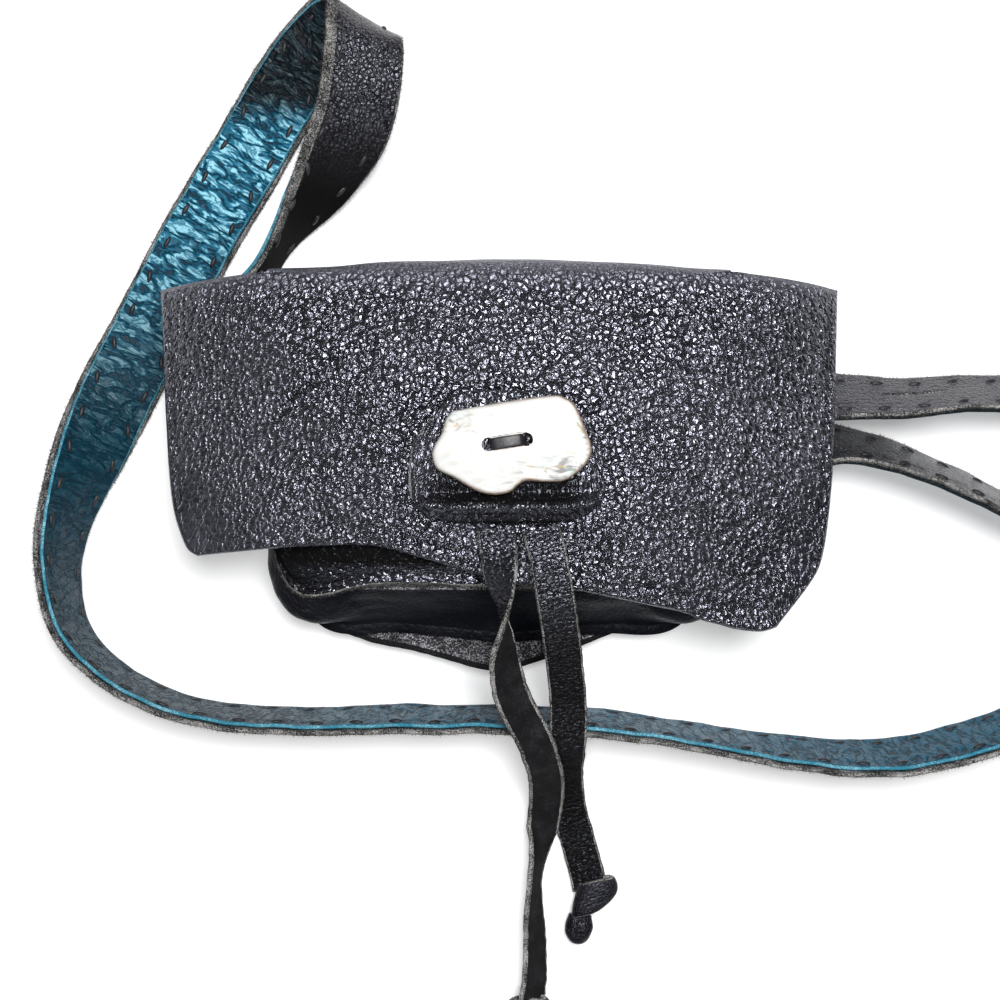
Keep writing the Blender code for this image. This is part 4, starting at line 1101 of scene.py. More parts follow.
# %% Flap surface
x, y = flap_xy[..., 0], flap_xy[..., 1]
steps_down = np.linalg.norm(np.diff(flap_xy, axis=0), axis=2)
steps_over = np.linalg.norm(np.diff(flap_xy, axis=1), axis=2)
from_hem = np.vstack([np.cumsum(steps_down[::-1], axis=0)[::-1], np.zeros((1, x.shape[1]))])
from_left = np.hstack([np.zeros((x.shape[0], 1)), np.cumsum(steps_over, axis=1)])
from_right = from_left[:, -1:] - from_left
from_side = np.minimum(from_left, from_right)
from_rear = (y[:1] - y) + 0.0002 + 0.004 * ease(0.066, 0.058, np.abs(x))
HEM_PITCH, SIDE_PITCH = 0.0118, 0.0092


def rolled(distance, radius=0.0016, drop=0.0011):
    """How far the face falls where the leather is turned at its edge."""
    inside = np.clip(1 - distance / radius, 0, 1)
    return drop * (1 - np.sqrt(1 - inside ** 2 * 0.98))


def stitch_pull(distance, inset, travelled, pitch):
    """Groove of a row of stitches, deepest at each one."""
    each = hump(travelled / pitch % 1.0, 0.5, 0.22)
    return 0.00034 * hump(distance, inset, 0.0008) * (0.30 + 0.70 * each)


def flap_face(x, y):
    """Height of the flap's face, with its crease and the sag of its hem."""
    height = flap_top(x, y) + wander(x, y) - 0.0005 * ease(0.027, FOLD_Y, y)
    crease = away_from(x, y, CREASE)
    groove, shoulders = hump(crease, 0, 0.0008), hump(crease, 0, 0.0026)
    height -= 0.00055 * groove - 0.00022 * shoulders
    sag = 0.0011 * ease(0.016, 0.0, y + 0.058) * ease(-0.040, -0.010, x) * ease(0.066, 0.050, x)
    return height - sag * np.abs(np.sin(x / 0.0086 + 0.8))


z = flap_face(x, y)
ripple = 0.00035 * clouds(np.stack([x, y], axis=-1) * (1, 0.6), 0.0060, 21.0)
z += ripple * (np.exp(-from_hem / 0.006) + np.exp(-from_side / 0.005))
z -= stitch_pull(from_hem, STITCH_IN_HEM, from_left, HEM_PITCH) * ease(0.006, 0.009, from_side)
z -= stitch_pull(from_side, STITCH_IN_SIDE, from_hem, SIDE_PITCH) * ease(0.004, 0.007, from_hem)
z -= np.maximum(np.maximum(rolled(from_hem), rolled(from_side)), rolled(from_rear, 0.0022, 0.0018))
flap_points = np.stack([x, y, z], axis=-1)

# %% Spine rows, from its foot up to the fold
POUCH_EDGE, BACK_HEIGHT = 0.0610, 0.0046


def back_under(x):
    """Height of the back leather's outer face."""
    return BACK_HEIGHT + 0.0032 * ease(0.90, 1.06, np.abs(x) / 0.0575)


SPINE_Y = HINGE_Y + 0.0016 + 0.0045 / 2
SPINE_OUT = SPINE_Y + PANEL_THICK / 2
# For each row of the spine: how far it is moved out, how much of the bow it has, and its share of
# the way up.
SPINE_ROWS = ((0.0, 0.30, 0.05), (0.0, 0.75, 0.22), (0.0, 1.00, 0.48), (0.0, 0.88, 0.72),
              (-0.0001, 0.48, 0.90))
SPINE_STEPS = 37
bow = 0.0042 * np.clip(1 - (top_x / POUCH_EDGE) ** 2, 0, 1)
foot = back_under(top_x) + PANEL_THICK / 2
top = z[0]
rise = top - foot
profile = [joined(SPINE_OUT + shift + bow * bulge, foot + rise * share)
           for shift, bulge, share in SPINE_ROWS]
profile.append(joined(np.maximum(SPINE_OUT - 0.0013 + bow * 0.14, y[0] + 0.0004),
                      foot + rise * 0.985))
profile.append(joined(y[0], top))
curved = through(np.stack(profile), np.linspace(0, 1, SPINE_STEPS))
spine = joined(top_x, curved[..., 0], curved[..., 1])
swell = np.sin(np.linspace(0, math.pi, SPINE_STEPS))[:, None]
spine[..., 1] += 0.00070 * clouds(spine[..., (0, 2)] * (0.6, 1.0), 0.0100, 31.0) * swell
leather_points = np.concatenate([spine[:-1], flap_points])
keep = np.ones((leather_points.shape[0] - 1, leather_points.shape[1] - 1), bool)
keep[:len(spine) - 1] = np.maximum(np.abs(top_x[:-1]), np.abs(top_x[1:])) <= POUCH_EDGE + 0.0006

# %% Make the flap leather
leather_uv = flat_size(leather_points)
leather_uv[..., 0] = leather_points[..., 0]
flap_leather = plain(cut_leather("flap_leather", leather_points, (black_grain, suede, black_grain),
                                 FLAP_THICK, leather_uv, keep=keep))
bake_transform(flap_leather)
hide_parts("flap_outer")
print("flap leather faces", len(flap_leather.data.polygons))

# %% Flap lining and stitches
inner = (down > 0.03)[:, None] & (from_hem > 0.0016) & (from_side > 0.0016)
rows, columns = np.nonzero(inner.any(axis=1))[0], np.nonzero(inner.any(axis=0))[0]
part = (slice(rows[0], rows[-1] + 1, 2), slice(columns[0], columns[-1] + 1, 2))
flap_out = normals(flap_points)
lining_face = (flap_points - flap_out * (FLAP_THICK + GAP + LINING_THICK))[part]
flap_lining = cut_leather("flap_lining_leather", lining_face, (lining_leather,), LINING_THICK,
                          flip=True)
hand_over(flap_lining, "flap", "flap_lining")


def line_inside(distance, inset, axis):
    """Line on the flap at an inset from a border, with the directions out of the leather."""
    grids = [grid if axis == 0 else np.swapaxes(grid, 0, 1)
             for grid in (distance, flap_points, flap_out)]
    shares = [np.interp(inset, column[::-1], np.arange(len(column))[::-1])
              if column[0] > column[-1] else np.interp(inset, column, np.arange(len(column)))
              for column in grids[0].T]
    first = np.clip(np.array(shares).astype(int), 0, grids[0].shape[0] - 2)
    part = (np.array(shares) - first)[:, None]
    index = np.arange(len(shares))
    return [grid[first, index] * (1 - part) + grid[first + 1, index] * part for grid in grids[1:]]


hem_line = [grid[18:-18] for grid in line_inside(from_hem, STITCH_IN_HEM, 0)]
left_sewn = [grid[4:-22] for grid in line_inside(from_left, STITCH_IN_SIDE, 1)]
right_sewn = [grid[4:-22] for grid in line_inside(from_right, STITCH_IN_SIDE, 1)]
hem_run = stations(*hem_line, HEM_PITCH)
side_runs = [stations(*line, SIDE_PITCH) for line in (left_sewn, right_sewn)]
sew("flap_stitches", "flap", [hem_run, *side_runs], length=0.0040, thickness=0.00055, turn=0.30,
    seed=5)
print("flap stitches", len(hem_run[0]) + sum(len(run[0]) for run in side_runs))

# %% [markdown]
# ## The back
#
# The back leather lies flat, its grain side down. Below the pouch it runs out in a pointed crescent
# that shows its suede side. A sleeve sewn across it holds the strap.

# %% Back leather
BACK_POINTS = ((-0.0612, -0.0380), (-0.0590, -0.0480), (-0.0525, -0.0560), (-0.0390, -0.0626),
               (-0.0232, -0.0662), (-0.0042, -0.0713), (0.0040, -0.0709), (0.0200, -0.0658),
               (0.0339, -0.0602), (0.0500, -0.0555), (0.0590, -0.0470), (0.0612, -0.0380))
back_x = np.linspace(-POUCH_EDGE, POUCH_EDGE, 91)
low = evenly(BACK_POINTS, 600)
low_y = np.interp(back_x, low[:, 0], low[:, 1])
low_y += 0.00025 * clouds(joined(back_x, 0 * back_x), 0.0030, 41.0)
foot_y = SPINE_Y - 0.0035
flat_v = spread(1.0, 0.08, 0.008, 0.016, both=False)[::-1]
flat_rows = low_y[None, :] + (foot_y - low_y)[None, :] * (1 - flat_v[:, None])
back_wave = 0.00012 * clouds(joined(back_x, flat_rows), 0.012, 42.0)
back_wave *= ease(-0.036, -0.050, flat_rows)
flat = joined(back_x, flat_rows, back_under(back_x) + back_wave)
spine_foot = joined(back_x, *(np.interp(back_x, top_x, spine[0][:, axis]) for axis in (1, 2)))
turn = np.linspace(0, math.pi / 2, 8)[1:, None]
run_up = spine_foot - flat[-1]
bend = joined(back_x, flat[-1][:, 1] + run_up[:, 1] * np.sin(turn),
              flat[-1][:, 2] + run_up[:, 2] * (1 - np.cos(turn)))
back_points = np.concatenate([flat, bend])
LIP_WIDTH = 0.0013
lip = np.zeros((len(back_points) - 1, len(back_x) - 1), bool)
lip[:len(flat) - 1] = (flat_rows[:-1, :-1] - low_y[:-1]) < LIP_WIDTH
back_leather = plain(cut_leather("back_leather", back_points, (black_grain, suede, black_edge),
                                 PANEL_THICK, raw_cells=lip))
hand_over(back_leather, "pouch", "back_panel")
print("back leather faces", len(back_leather.data.polygons))

# %% Sleeve
SLEEVE_HALF, SLEEVE_END, SLEEVE_DROP, SLEEVE_SEAM = 0.0320, 0.0310, 0.0030, 0.0295
sleeve_x, sleeve_y = np.meshgrid(np.linspace(-SLEEVE_HALF, SLEEVE_HALF, 49),
                                 np.linspace(-SLEEVE_END, SLEEVE_END, 49))
sleeve_points = joined(sleeve_x, sleeve_y,
                       SLEEVE_DROP * ease(0.0248, 0.0282, np.abs(sleeve_y)))
sleeve = cut_leather("sleeve_leather", sleeve_points, (black_grain, suede, cut_edge), PANEL_THICK)
hand_over(sleeve, "pouch", "back_sleeve")
sleeve_runs = []
for edge in (-SLEEVE_SEAM, SLEEVE_SEAM):
    line = joined(np.linspace(-0.030, 0.030, 40), edge, SLEEVE_DROP)
    sleeve_runs.append(stations(line, np.tile((0.0, 0.0, -1.0), (40, 1)), 0.0075))
sew("sleeve_stitches", "pouch", sleeve_runs, length=0.0042, thickness=0.00055, turn=0.15, seed=6)
print("sleeve stitches", sum(len(run[0]) for run in sleeve_runs))

# %% [markdown]
# ## The pouch's front and its gusset
#
# The front panel is sewn to the gusset along a raw seam, which shows below the hem as a line of
# pale fibres. Above that seam the leather is wrinkled and polished. The gusset is a strip that goes
# round the pouch and bulges at the lower corners, where it makes two soft lobes.

# %% Front panel
PANEL_LOW = ((-0.0610, -0.0330), (-0.0600, -0.0400), (-0.0575, -0.0462), (-0.0540, -0.0490),
             (-0.0500, -0.0494), (-0.0455, -0.0486), (-0.0367, -0.0464), (-0.0279, -0.0457),
             (-0.0160, -0.0459), (-0.0050, -0.0464), (0.0100, -0.0470), (0.0280, -0.0474),
             (0.0440, -0.0484), (0.0520, -0.0488), (0.0575, -0.0462), (0.0600, -0.0400),
             (0.0610, -0.0330))
PANEL_HIGH = 0.0310


def front_top(x, y):
    """Height of the front panel's outer face."""
    away = np.hypot(x - SNAP_CENTRE[0], y - SNAP_CENTRE[1]) / 0.0180
    hollow = GAP + 0.0002 + 0.0044 * np.exp(-away ** 3)
    side = 0.0040 * np.minimum(1.3, np.abs(x) / 0.0575) ** 4
    foot = 0.0050 * ease(-0.0345, -0.0480, y)
    return flap_top(x, y) - FLAP_THICK - GAP - LINING_THICK - hollow - side - foot


panel_x = np.linspace(-POUCH_EDGE, POUCH_EDGE, 111)
low = evenly(PANEL_LOW, 800)
panel_low = np.interp(panel_x, low[:, 0], low[:, 1])
panel_low += 0.00022 * clouds(joined(panel_x, 0 * panel_x), 0.0022, 51.0)
panel_v = spread(0.079, 0.014, 0.0006, 0.0016, both=False)[:, None]
panel_y = PANEL_HIGH + (panel_low[None, :] - PANEL_HIGH) * panel_v
panel_flat = joined(panel_x, panel_y)
shown = ease(-0.030, -0.037, panel_y)
fold_wave = clouds(panel_flat * (0.30, 1.0), 0.0038, 52.0) + 0.5 * clouds(panel_flat, 0.0060, 53.0)
panel_z = front_top(panel_x, panel_y) + wander(panel_x, panel_y)
panel_z += shown * (0.00045 * fold_wave - 0.0003)
panel_z -= 0.0009 * shown * ease(0.0022, 0.0, np.abs(panel_y - panel_low - 0.0032))
panel_z[-1] -= 0.0004
front_panel = plain(cut_leather("front_panel_leather", joined(panel_x, panel_y, panel_z),
                                (panel_grain, suede, raw_edge), PANEL_THICK, raw=("end",)))
hand_over(front_panel, "pouch", "front_panel")
panel_fray = fray(front_panel, "pouch", density=1.6e7, length=0.0010, thickness=0.00006,
                  lean=0.8, seed=7)
print("front panel", len(front_panel.data.polygons), "fibres", len(panel_fray.data.polygons))

# %% Gusset
GUSSET_SIDE, GUSSET_BEND = 0.27, 0.15


def u_line(share, low, radius, reach=0.0575, high=0.0310):
    """Points and outward directions along a U: down the left side, round, and up the right."""
    s = np.minimum(share, 1 - share)
    straight = np.clip(s / GUSSET_SIDE, 0, 1)
    angle = math.pi / 2 * np.clip((s - GUSSET_SIDE) / GUSSET_BEND, 0, 1)
    base = np.clip((s - GUSSET_SIDE - GUSSET_BEND) / (0.5 - GUSSET_SIDE - GUSSET_BEND), 0, 1)
    out = np.stack([-np.cos(angle), -np.sin(angle)], -1)
    x = -reach + radius * (1 - np.cos(angle)) + (reach - radius) * base
    y = high + (low + radius - high) * straight - radius * np.sin(angle)
    mirror = np.where(share > 0.5, -1.0, 1.0)
    return np.stack([x * mirror, y], -1), out * np.stack([mirror, np.ones_like(mirror)], -1)


WALL_ROWS, SEAM_INSET = 31, 0.0027
gusset_u = np.linspace(0, 1, 221)
front_line, out_way = u_line(gusset_u, -0.0445, 0.0160)
back_line, _ = u_line(gusset_u, -0.0620, 0.0240)
middle_run = ease(0.150, 0.060, np.abs(gusset_u - 0.5))
back_line[:, 1] += middle_run * (0.0012 + 0.10 * np.abs(back_line[:, 0] - 0.002))
half = PANEL_THICK / 2
front_z = front_top(*front_line.T) + wander(*front_line.T) - PANEL_THICK - 0.0019 - half
back_z = back_under(back_line[:, 0]) + PANEL_THICK + GAP + half
wall_v = np.linspace(0, 1, WALL_ROWS)[:, None]
near_corner = hump(np.abs(gusset_u - 0.5), 0.155, 0.045)[None, :]
bulge = (0.0050 - 0.0034 * middle_run[None, :]) * np.sin(math.pi * wall_v) ** 2
bulge = bulge + 0.0055 * near_corner * np.sin(math.pi * wall_v ** 1.6) ** 2
to_back = (wall_v ** 1.7)[..., None]
wall_xy = front_line[None] * (1 - to_back) + back_line[None] * to_back
wall_xy = wall_xy + out_way[None] * bulge[..., None]
wall = np.concatenate([wall_xy, (front_z * (1 - wall_v) + back_z * wall_v)[..., None]], -1)
lips = [np.concatenate([line + out_way * SEAM_INSET, level[:, None]], -1)[None]
        for line, level in ((front_line, front_z), (back_line, back_z))]
gusset_middle = np.concatenate([lips[0], wall, lips[1]])
crumple = joined(gusset_u[None, :] * 0.30, np.linspace(0, 0.03, WALL_ROWS + 2)[:, None])
fade = np.sin(np.linspace(0, math.pi, WALL_ROWS + 2))[:, None]
push = half + fade * (0.00070 * clouds(crumple * (0.6, 1), 0.0085, 61.0)
                      + 0.00035 * clouds(crumple, 0.0036, 62.0))
gusset_points = gusset_middle + normals(gusset_middle) * push[..., None]
gusset = plain(cut_leather("gusset_leather", gusset_points, (gusset_grain, suede, cut_edge),
                           PANEL_THICK))
hand_over(gusset, "pouch", "gusset")
print("gusset faces", len(gusset.data.polygons))

# %% [markdown]
# ## The patch
#
# A patch of the same leather covers the washer of the snap and the start of the ties. Its lower
# edge is drawn together like a curtain, which raises a ridge of small gathers.

# %% Patch
PATCH_LEFT, PATCH_RIGHT, PATCH_TOP, PATCH_BOTTOM = -0.0238, 0.0272, 0.0050, -0.0292
patch_u = np.concatenate([[0, 0.009], np.linspace(0.02, 1, 96)])[None, :]
patch_v = np.linspace(0, 1, 65)[:, None]
corner = np.abs(2 * patch_u - 1) ** 5
patch_x = PATCH_LEFT + (PATCH_RIGHT - PATCH_LEFT) * patch_u
patch_x = patch_x + (1 - 2 * patch_u) * (0.0044 * (1 - patch_v) ** 3 + 0.0026 * patch_v ** 7)
patch_y = PATCH_TOP + (PATCH_BOTTOM - PATCH_TOP) * patch_v
patch_y = patch_y - 0.0100 * corner * (1 - patch_v) ** 3 + 0.0036 * corner * patch_v ** 6
rim = np.minimum(1, 9 * patch_u * (1 - patch_u)) * np.minimum(1, 7 * patch_v * (1 - patch_v) + 0.12)
flat = joined(patch_x, patch_y)
ridge = hump(patch_v, 0.885, 0.058) * ease(0.0, 0.08, patch_u) * ease(1.0, 0.94, patch_u)
valley = hump(patch_v, 0.765, 0.040) * ease(0.05, 0.16, patch_u)
gathers = clouds(flat * (1, 0.22), 0.0030, 71.0) + 0.6 * clouds(flat * (1, 0.35), 0.0014, 72.0)
lift = GAP + 0.0012 * rim + ridge * (0.0025 + 0.0011 * gathers) - 0.0007 * valley * rim
lift = lift + 0.00035 * gathers * hump(patch_v, 0.72, 0.10)
lift = lift + 0.00020 * rim * clouds(flat, 0.0032, 73.0) * ease(0.45, 0.70, patch_v)
patch_z = flap_top(patch_x, patch_y) + wander(patch_x, patch_y) + lift + PATCH_THICK
patch = plain(cut_leather("patch_leather", joined(patch_x, patch_y, patch_z),
                          (patch_grain, suede, cut_edge), PATCH_THICK, raw=("left",)))
hand_over(patch, "flap", "button_patch")
print("patch faces", len(patch.data.polygons))

# %% [markdown]
# ## The shell button and its lace
#
# The button is a slice of shell, ground smooth on top, with its brown skin left on the rim. It is
# lofted in rings: up the rounded rim and in over a low dome. A slot is sunk between its two holes,
# and the lace lies in that slot, up through one hole and down through the other.

# %% Button body
BUTTON_BASE, BUTTON_RIM, BUTTON_TOP = 0.0453, 0.0478, 0.0489
BUTTON_OUTLINE = ((-0.0099, -0.0002), (-0.0028, 0.0011), (0.0053, 0.0024), (0.0135, 0.0034),
                  (0.0163, 0.0029), (0.0191, 0.0009), (0.0214, -0.0042), (0.0232, -0.0091),
                  (0.0232, -0.0116), (0.0219, -0.0141), (0.0193, -0.0167), (0.0160, -0.0185),
                  (0.0112, -0.0187), (0.0066, -0.0185), (0.0046, -0.0196), (0.0025, -0.0213),
                  (-0.0010, -0.0220), (-0.0046, -0.0215), (-0.0079, -0.0200), (-0.0117, -0.0177),
                  (-0.0160, -0.0154), (-0.0173, -0.0121), (-0.0168, -0.0096), (-0.0150, -0.0065),
                  (-0.0140, -0.0032), (-0.0125, -0.0009))
HOLES = ((-0.0030, -0.0092), (0.0066, -0.0079))
HOLE_RADIUS, SLOT_HALF, SLOT_DROP, SLOT_FLOOR = 0.0017, 0.0025, 0.0005, 0.0472
BUTTON_HEART = np.array([0.0030, -0.0095])
# Rings of the rim, from below: how far in from the outline, and how far up the rim.
RIM_PROFILE = ((0.0012, 0.00), (0.0004, 0.04), (0.0001, 0.16), (0.0000, 0.34), (0.0001, 0.52),
               (0.0004, 0.72), (0.0008, 0.88), (0.0013, 0.97), (0.0019, 1.00))
closed_line = np.array(BUTTON_OUTLINE[-1:] + BUTTON_OUTLINE + BUTTON_OUTLINE[:2])
count = 7 * len(BUTTON_OUTLINE)
shares = (1 + np.arange(count) / count * len(BUTTON_OUTLINE)) / (len(closed_line) - 1)
spokes = through(closed_line, shares) - BUTTON_HEART
reach = np.linalg.norm(spokes, axis=1)


def button_ring(inset, share, height):
    """Points round the button, in from its outline and then nearer its heart by a share."""
    ring = BUTTON_HEART + spokes * (1 - inset / reach)[:, None] * share
    return joined(*ring.T, height)


rings = [button_ring(inset, 1.0, BUTTON_BASE + (BUTTON_RIM - BUTTON_BASE) * share)
         for inset, share in RIM_PROFILE]
rings += [button_ring(RIM_PROFILE[-1][0], share,
                      BUTTON_RIM + (BUTTON_TOP - BUTTON_RIM) * (1 - share ** 2.6))
          for share in np.linspace(0.90, 0.06, 15)]
rings = np.array(rings)
swell = 0.00028 * clouds(rings[..., :2], 0.0090, 81.0)
swell += 0.00007 * clouds(rings[..., :2], 0.0030, 82.0)
rings[..., 2] += swell * ease(0.0472, 0.0478, rings[..., 2])
shell_mesh = bmesh.new()
loops = [[shell_mesh.verts.new(place) for place in ring] for ring in rings]
for first, second in zip(loops, loops[1:]):
    for index in range(count):
        after = (index + 1) % count
        shell_mesh.faces.new((first[index], second[index], second[after], first[after]))
hub_height = float(rings[-1][:, 2].mean()) + 0.00001
for loop, height in ((loops[0], BUTTON_BASE), (loops[-1], hub_height)):
    hub = shell_mesh.verts.new((*BUTTON_HEART, height))
    for index in range(count):
        shell_mesh.faces.new((loop[index], loop[(index + 1) % count], hub))
bmesh.ops.recalc_face_normals(shell_mesh, faces=shell_mesh.faces)
button_mesh = bpy.data.meshes.new("button")
shell_mesh.to_mesh(button_mesh)
shell_mesh.free()
button = add_piece("button", button_mesh, shell)


# %% Cut the button's slot and holes
def rounded_bar(name, first, second, radius, low, high, steps=20):
    """Upright prism around a line, with round ends."""
    first, second = np.array(first), np.array(second)
    way = math.atan2(*(second - first)[::-1])
    ends = [(second, way - math.pi / 2), (first, way + math.pi / 2)]
    outline = [centre + radius * np.array([math.cos(start + math.pi * step / steps),
                                           math.sin(start + math.pi * step / steps)])
               for centre, start in ends for step in range(steps + 1)]
    prism = bmesh.new()
    floor_face = prism.faces.new([prism.verts.new((*place, low)) for place in outline])
    raised = bmesh.ops.extrude_face_region(prism, geom=[floor_face])
    raised = [item for item in raised["geom"] if isinstance(item, bmesh.types.BMVert)]
    bmesh.ops.translate(prism, vec=(0, 0, high - low), verts=raised)
    bmesh.ops.recalc_face_normals(prism, faces=prism.faces)
    mesh = bpy.data.meshes.new(name)
    prism.to_mesh(mesh)
    prism.free()
    return add_piece(name, mesh)


slot_ends = [(hole[0] + inward, hole[1] - SLOT_DROP)
             for hole, inward in zip(HOLES, (0.0007, -0.0007))]
tools = [rounded_bar("slot_tool", *slot_ends, SLOT_HALF, SLOT_FLOOR, 0.052)]
tools += [rounded_bar(f"hole_tool_{index}", hole, (hole[0] + 0.0001, hole[1]), HOLE_RADIUS, 0.044,
                      0.052) for index, hole in enumerate(HOLES)]
for tool in tools:
    boolean = button.modifiers.new("cut", "BOOLEAN")
    boolean.operation, boolean.solver, boolean.object = "DIFFERENCE", "EXACT", tool
plain(button)
for tool in tools:
    bpy.data.objects.remove(tool)
button.data.shade_smooth()
button.data.set_sharp_from_angle(angle=math.radians(38))
hand_over(button, "flap", "shell_button")
print("button faces", len(button.data.polygons))

# %% Lace across the slot
LACE_WIDTH, LACE_THICK = 0.0031, 0.0011
(ax, ay), (bx, by) = HOLES
lace_route = [(ax - 0.0001, ay, 0.0450), (ax, ay, 0.0466), (ax + 0.0003, ay, 0.0476),
              (ax + 0.0012, ay + 0.0001, 0.04835), (ax + 0.0030, ay + 0.0004, 0.04868),
              ((ax + bx) / 2, (ay + by) / 2, 0.04880), (bx - 0.0030, by - 0.0004, 0.04868),
              (bx - 0.0012, by - 0.0001, 0.04835), (bx - 0.0003, by, 0.0476), (bx, by, 0.0466),
              (bx + 0.0001, by, 0.0450)]
lace_way = unit(np.array([ax - bx, ay - by, 0.0])[None])[0]
lace_side = np.cross(lace_way, (0, 0, 1))
middle, run, aside, distance = strip_frames(lace_route, [lace_side] * len(lace_route), 0.0004)
side = np.linspace(-0.5, 0.5, 9)
grain = np.cross(run, aside)
grain *= np.sign(grain[len(grain) // 2][2])
crown = 0.00012 * (1 - (2 * side) ** 4)
lace_points = (middle[:, None] + aside[:, None] * (side * LACE_WIDTH)[None, :, None]
               + grain[:, None] * (crown - LACE_THICK / 2)[None, :, None])
lace_uv = joined(side[None, :] * LACE_WIDTH, distance[:, None])
upside_down = normals(lace_points)[len(middle) // 2, len(side) // 2][2] < 0
lace = plain(cut_leather("slot_lace", lace_points, (lace_leather,) * 3, LACE_THICK, lace_uv,
                         flip=upside_down))
hand_over(lace, "flap", "button_lace")

# %% Metal of the snap and the stud
for node in ("snap_socket", "snap_socket_washer", "snap_stud", "snap_stud_washer", "strap_stud"):
    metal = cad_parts[node]
    for place in metal.material_slots:
        place.material = brass
print("brass on the snap, its washers and the stud")

# %% [markdown]
# ## The knots
#
# Each tie ends in a knot: the lace goes once round itself as a flattened band, with its end lying
# on top, and its rounded tip sticks out below. The band is a sheet wound in a slowly growing oval,
# so its overlap and its cut edges show. The tip is a small lofted lobe with a fold along it.

# %% Make the knots
BAND_HALF, BAND_HEIGHT, TIP_HEIGHT = np.array([0.0050, 0.0023]), 0.0031, 0.0024
KNOT_LACE_THICK = 0.0011


def heading(degrees):
    """A direction aside and one onward, down the table, turned by degrees."""
    turn = math.radians(degrees)
    return (np.array([math.cos(turn), math.sin(turn), 0.0]),
            np.array([math.sin(turn), -math.cos(turn), 0.0]))


def oval(value, power):
    """A cosine or sine with its roundness changed."""
    return np.sign(value) * np.abs(value) ** power


def knot_band(name, centre, turn, lean):
    """The lace's turn round itself, its ends overlapping on top."""
    aside, onward = heading(turn)[0], heading(lean)[1]
    angle = np.radians(np.linspace(215, 625, 83))[:, None]
    wide = np.concatenate([[-1, -0.90], np.linspace(-0.78, 0.78, 12), [0.90, 1]])[None, :]
    cosine, sine = np.cos(angle), np.sin(angle)
    grow = 1 + 0.16 * (angle - angle[0]) / (2 * math.pi)
    reach = BAND_HALF[0] * grow * oval(cosine, 0.80)
    rise = BAND_HALF[1] * grow * oval(sine, 0.85)
    flat = joined(angle * 0.0040, wide * 0.0050)
    swell = 0.00035 * clouds(flat, 0.0040, 91.0) - 0.0006 * (np.abs(wide) > 0.95)
    ragged = 0.0005 * clouds(flat, 0.0045, 92.0)
    pinch = 1 - 0.10 * wide ** 2
    along = wide * 0.0051 + 0.06 * reach + ragged * np.abs(wide) ** 3
    bulge = np.maximum(cosine, 0) * (0.0022 * (1 - wide ** 2) - 0.0020 * np.maximum(wide, 0) ** 2)
    heart = np.array([*centre, BAND_HEIGHT])
    points = (heart + aside * (reach * pinch + swell * cosine + bulge)[..., None]
              + onward * along[..., None])
    points[..., 2] += rise * pinch + swell * sine
    points[..., 2] = np.maximum(points[..., 2], 2 * ON_TABLE)
    inward = np.sum(normals(points)[10, 8] * (points[10, 8] - heart)) < 0
    return plain(cut_leather(f"{name}_knot", points, (knot_grain, tie_back, cut_edge),
                             KNOT_LACE_THICK, flat, flip=inward, raw=("left", "right")))


def knot_tip(name, centre, turn):
    """The lace's rounded end, a closed lobe with a fold along it."""
    aside, onward = heading(turn)
    length = np.linspace(0, 1, 25)[:, None]
    angle = np.linspace(0, 2 * math.pi, 41)[None, :]
    full = np.sqrt(np.maximum(1 - length ** 3.4, 0.0)) * (0.80 + 0.20 * ease(0.0, 0.4, length))
    crease = 0.00055 * hump(np.cos(angle), 0, 0.16) * (np.sin(angle) > 0)
    place = joined(angle * 0.0030, length * 0.0090)
    lumps = 0.00022 * clouds(place[:, :-1], 0.0024, 93.0)
    lumps = np.hstack([lumps, lumps[:, :1]])
    points = (np.array([*centre, TIP_HEIGHT]) + onward * (length * 0.0086 - 0.0040)[..., None]
              + aside * (full * (0.0041 + lumps) * np.cos(angle))[..., None])
    points[..., 2] += full * ((0.0021 + lumps) * np.sin(angle) - crease)
    mesh = sheet_mesh(f"{name}_tip", points, place)

    def close(lobe):
        bmesh.ops.remove_doubles(lobe, verts=lobe.verts, dist=0.00001)
        bmesh.ops.holes_fill(lobe, edges=lobe.edges, sides=0)
        bmesh.ops.recalc_face_normals(lobe, faces=lobe.faces)

    rework(mesh, close)
    return add_piece(f"{name}_tip", mesh, knot_grain)


def make_knot(name, node, band, tip):
    pieces = [knot_band(name, *band), knot_tip(name, *tip)]
    for piece in pieces:
        hand_over(piece, "flap", node)
    return pieces


right_knot = make_knot("right_tie", "tie_right_knot", ((0.0262, -0.1360), 16, -14),
                       ((0.0224, -0.1453), -6))
left_knot = make_knot("left_tie", "tie_left_knot", ((0.0082, -0.1697), 8, 4),
                      ((0.0093, -0.1777), 8))
print("knots:", [piece.name for piece in left_knot + right_knot])

# %% [markdown]
# ## The floor and the light
#
# The bag lies on a white table. The table stays white for the camera and for reflections, and it
# keeps the bag's soft shadow. The key lamp stands above the bag's upper right, so the shadows fall
# to the lower left and the pebbles glint. The world, a low lamp in front and a faint one on the
# left fill in the rest.

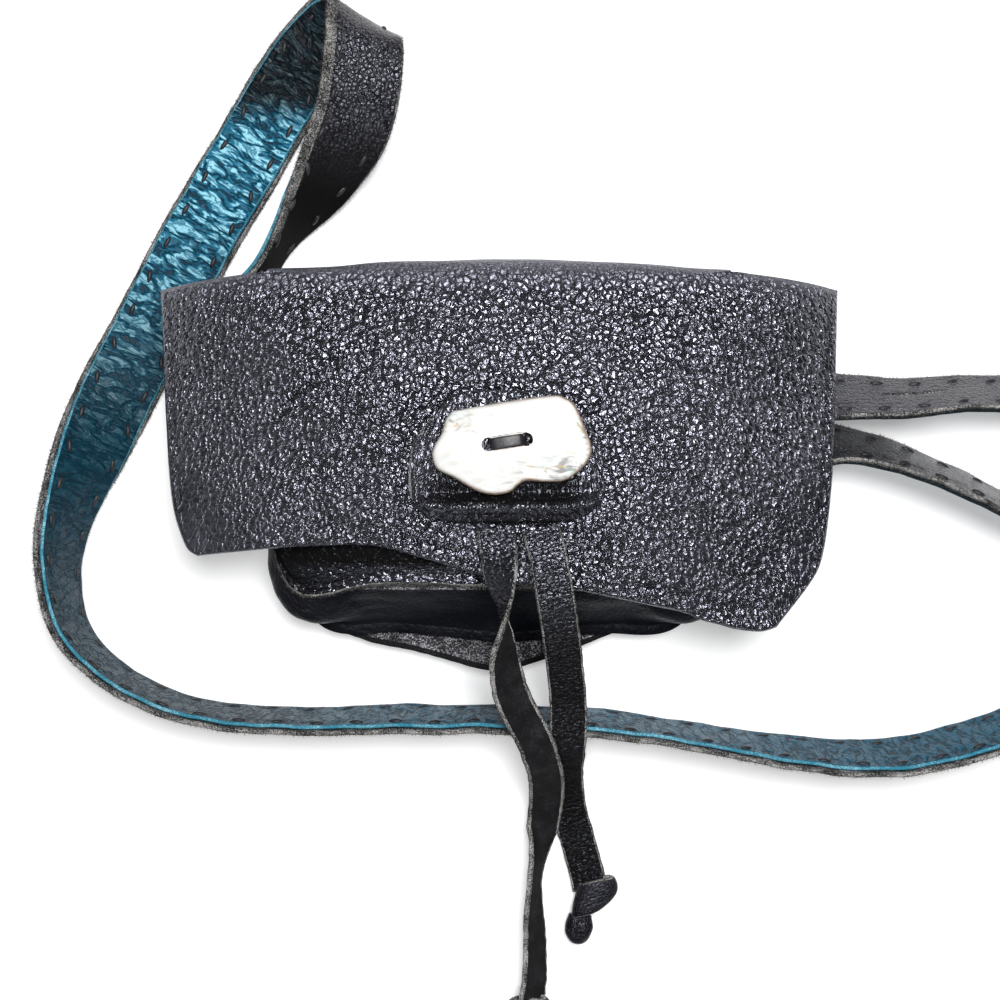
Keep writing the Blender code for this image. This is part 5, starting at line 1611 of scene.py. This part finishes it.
# %% Table, lamps and world
TABLE_WHITE = 0.80
TABLE_GLOW = 0.32
FLOOR_DROP = -0.0004
WORLD_LIGHT = 0.07
# Each lamp's name, place, target, size and power.
LAMPS = (
    ("key", (0.10, 0.17, 0.80), (0.0, 0.0, 0.0), 0.38, 8.4),
    ("from_left", (-0.80, 0.10, 0.60), (0.0, 0.0, 0.02), 0.40, 0.2),
    ("front", (-0.08, -0.42, 0.60), (0.0, -0.04, 0.02), 0.16, 1.0),
)

floor_mesh = bpy.data.meshes.new("table")
floor_mesh.from_pydata([(x, y, FLOOR_DROP) for x, y in ((-6, -6), (6, -6), (6, 6), (-6, 6))], [],
                       [(0, 1, 2, 3)])
table_finish = Finish("table_white", Base_Color=(TABLE_WHITE,) * 3, Roughness=0.9,
                      Specular_IOR_Level=0.1, Emission_Strength=TABLE_GLOW)
seen = sum(table_finish.node("ShaderNodeLightPath", out=f"Is {kind} Ray")
           for kind in ("Camera", "Glossy", "Transmission"))
table_finish.set("Emission Color", table_finish.mix(seen, (0.0, 0.0, 0.0), (1.0, 1.0, 1.0)))
floor = add_piece("table", floor_mesh, table_finish.material)

world = bpy.data.worlds.new("studio")
world.use_nodes = True
sky, background = Bench(world.node_tree), world.node_tree.nodes["Background"]
seen_level = sky.node("ShaderNodeMapRange", None, {
    "Value": sky.node("ShaderNodeLightPath", out="Is Camera Ray"), "To Min": WORLD_LIGHT})
sky.feed(background, "Strength", seen_level)
sky.feed(background, "Color", (1.0, 1.0, 1.0))
bpy.context.scene.world = world
bpy.context.scene.world = world

for name, place, target, size, power in LAMPS:
    lamp_data = bpy.data.lights.new(name, "AREA")
    lamp_data.shape = "DISK"
    lamp_data.size = size
    lamp_data.energy = power
    lamp = bpy.data.objects.new(name, lamp_data)
    aim = (Vector(target) - Vector(place)).to_track_quat("-Z", "Y")
    lamp.matrix_world = Matrix.Translation(place) @ aim.to_matrix().to_4x4()
    bpy.context.scene.collection.objects.link(lamp)
bpy.context.scene.view_settings.view_transform = "Standard"
print("lamps:", [row[0] for row in LAMPS])
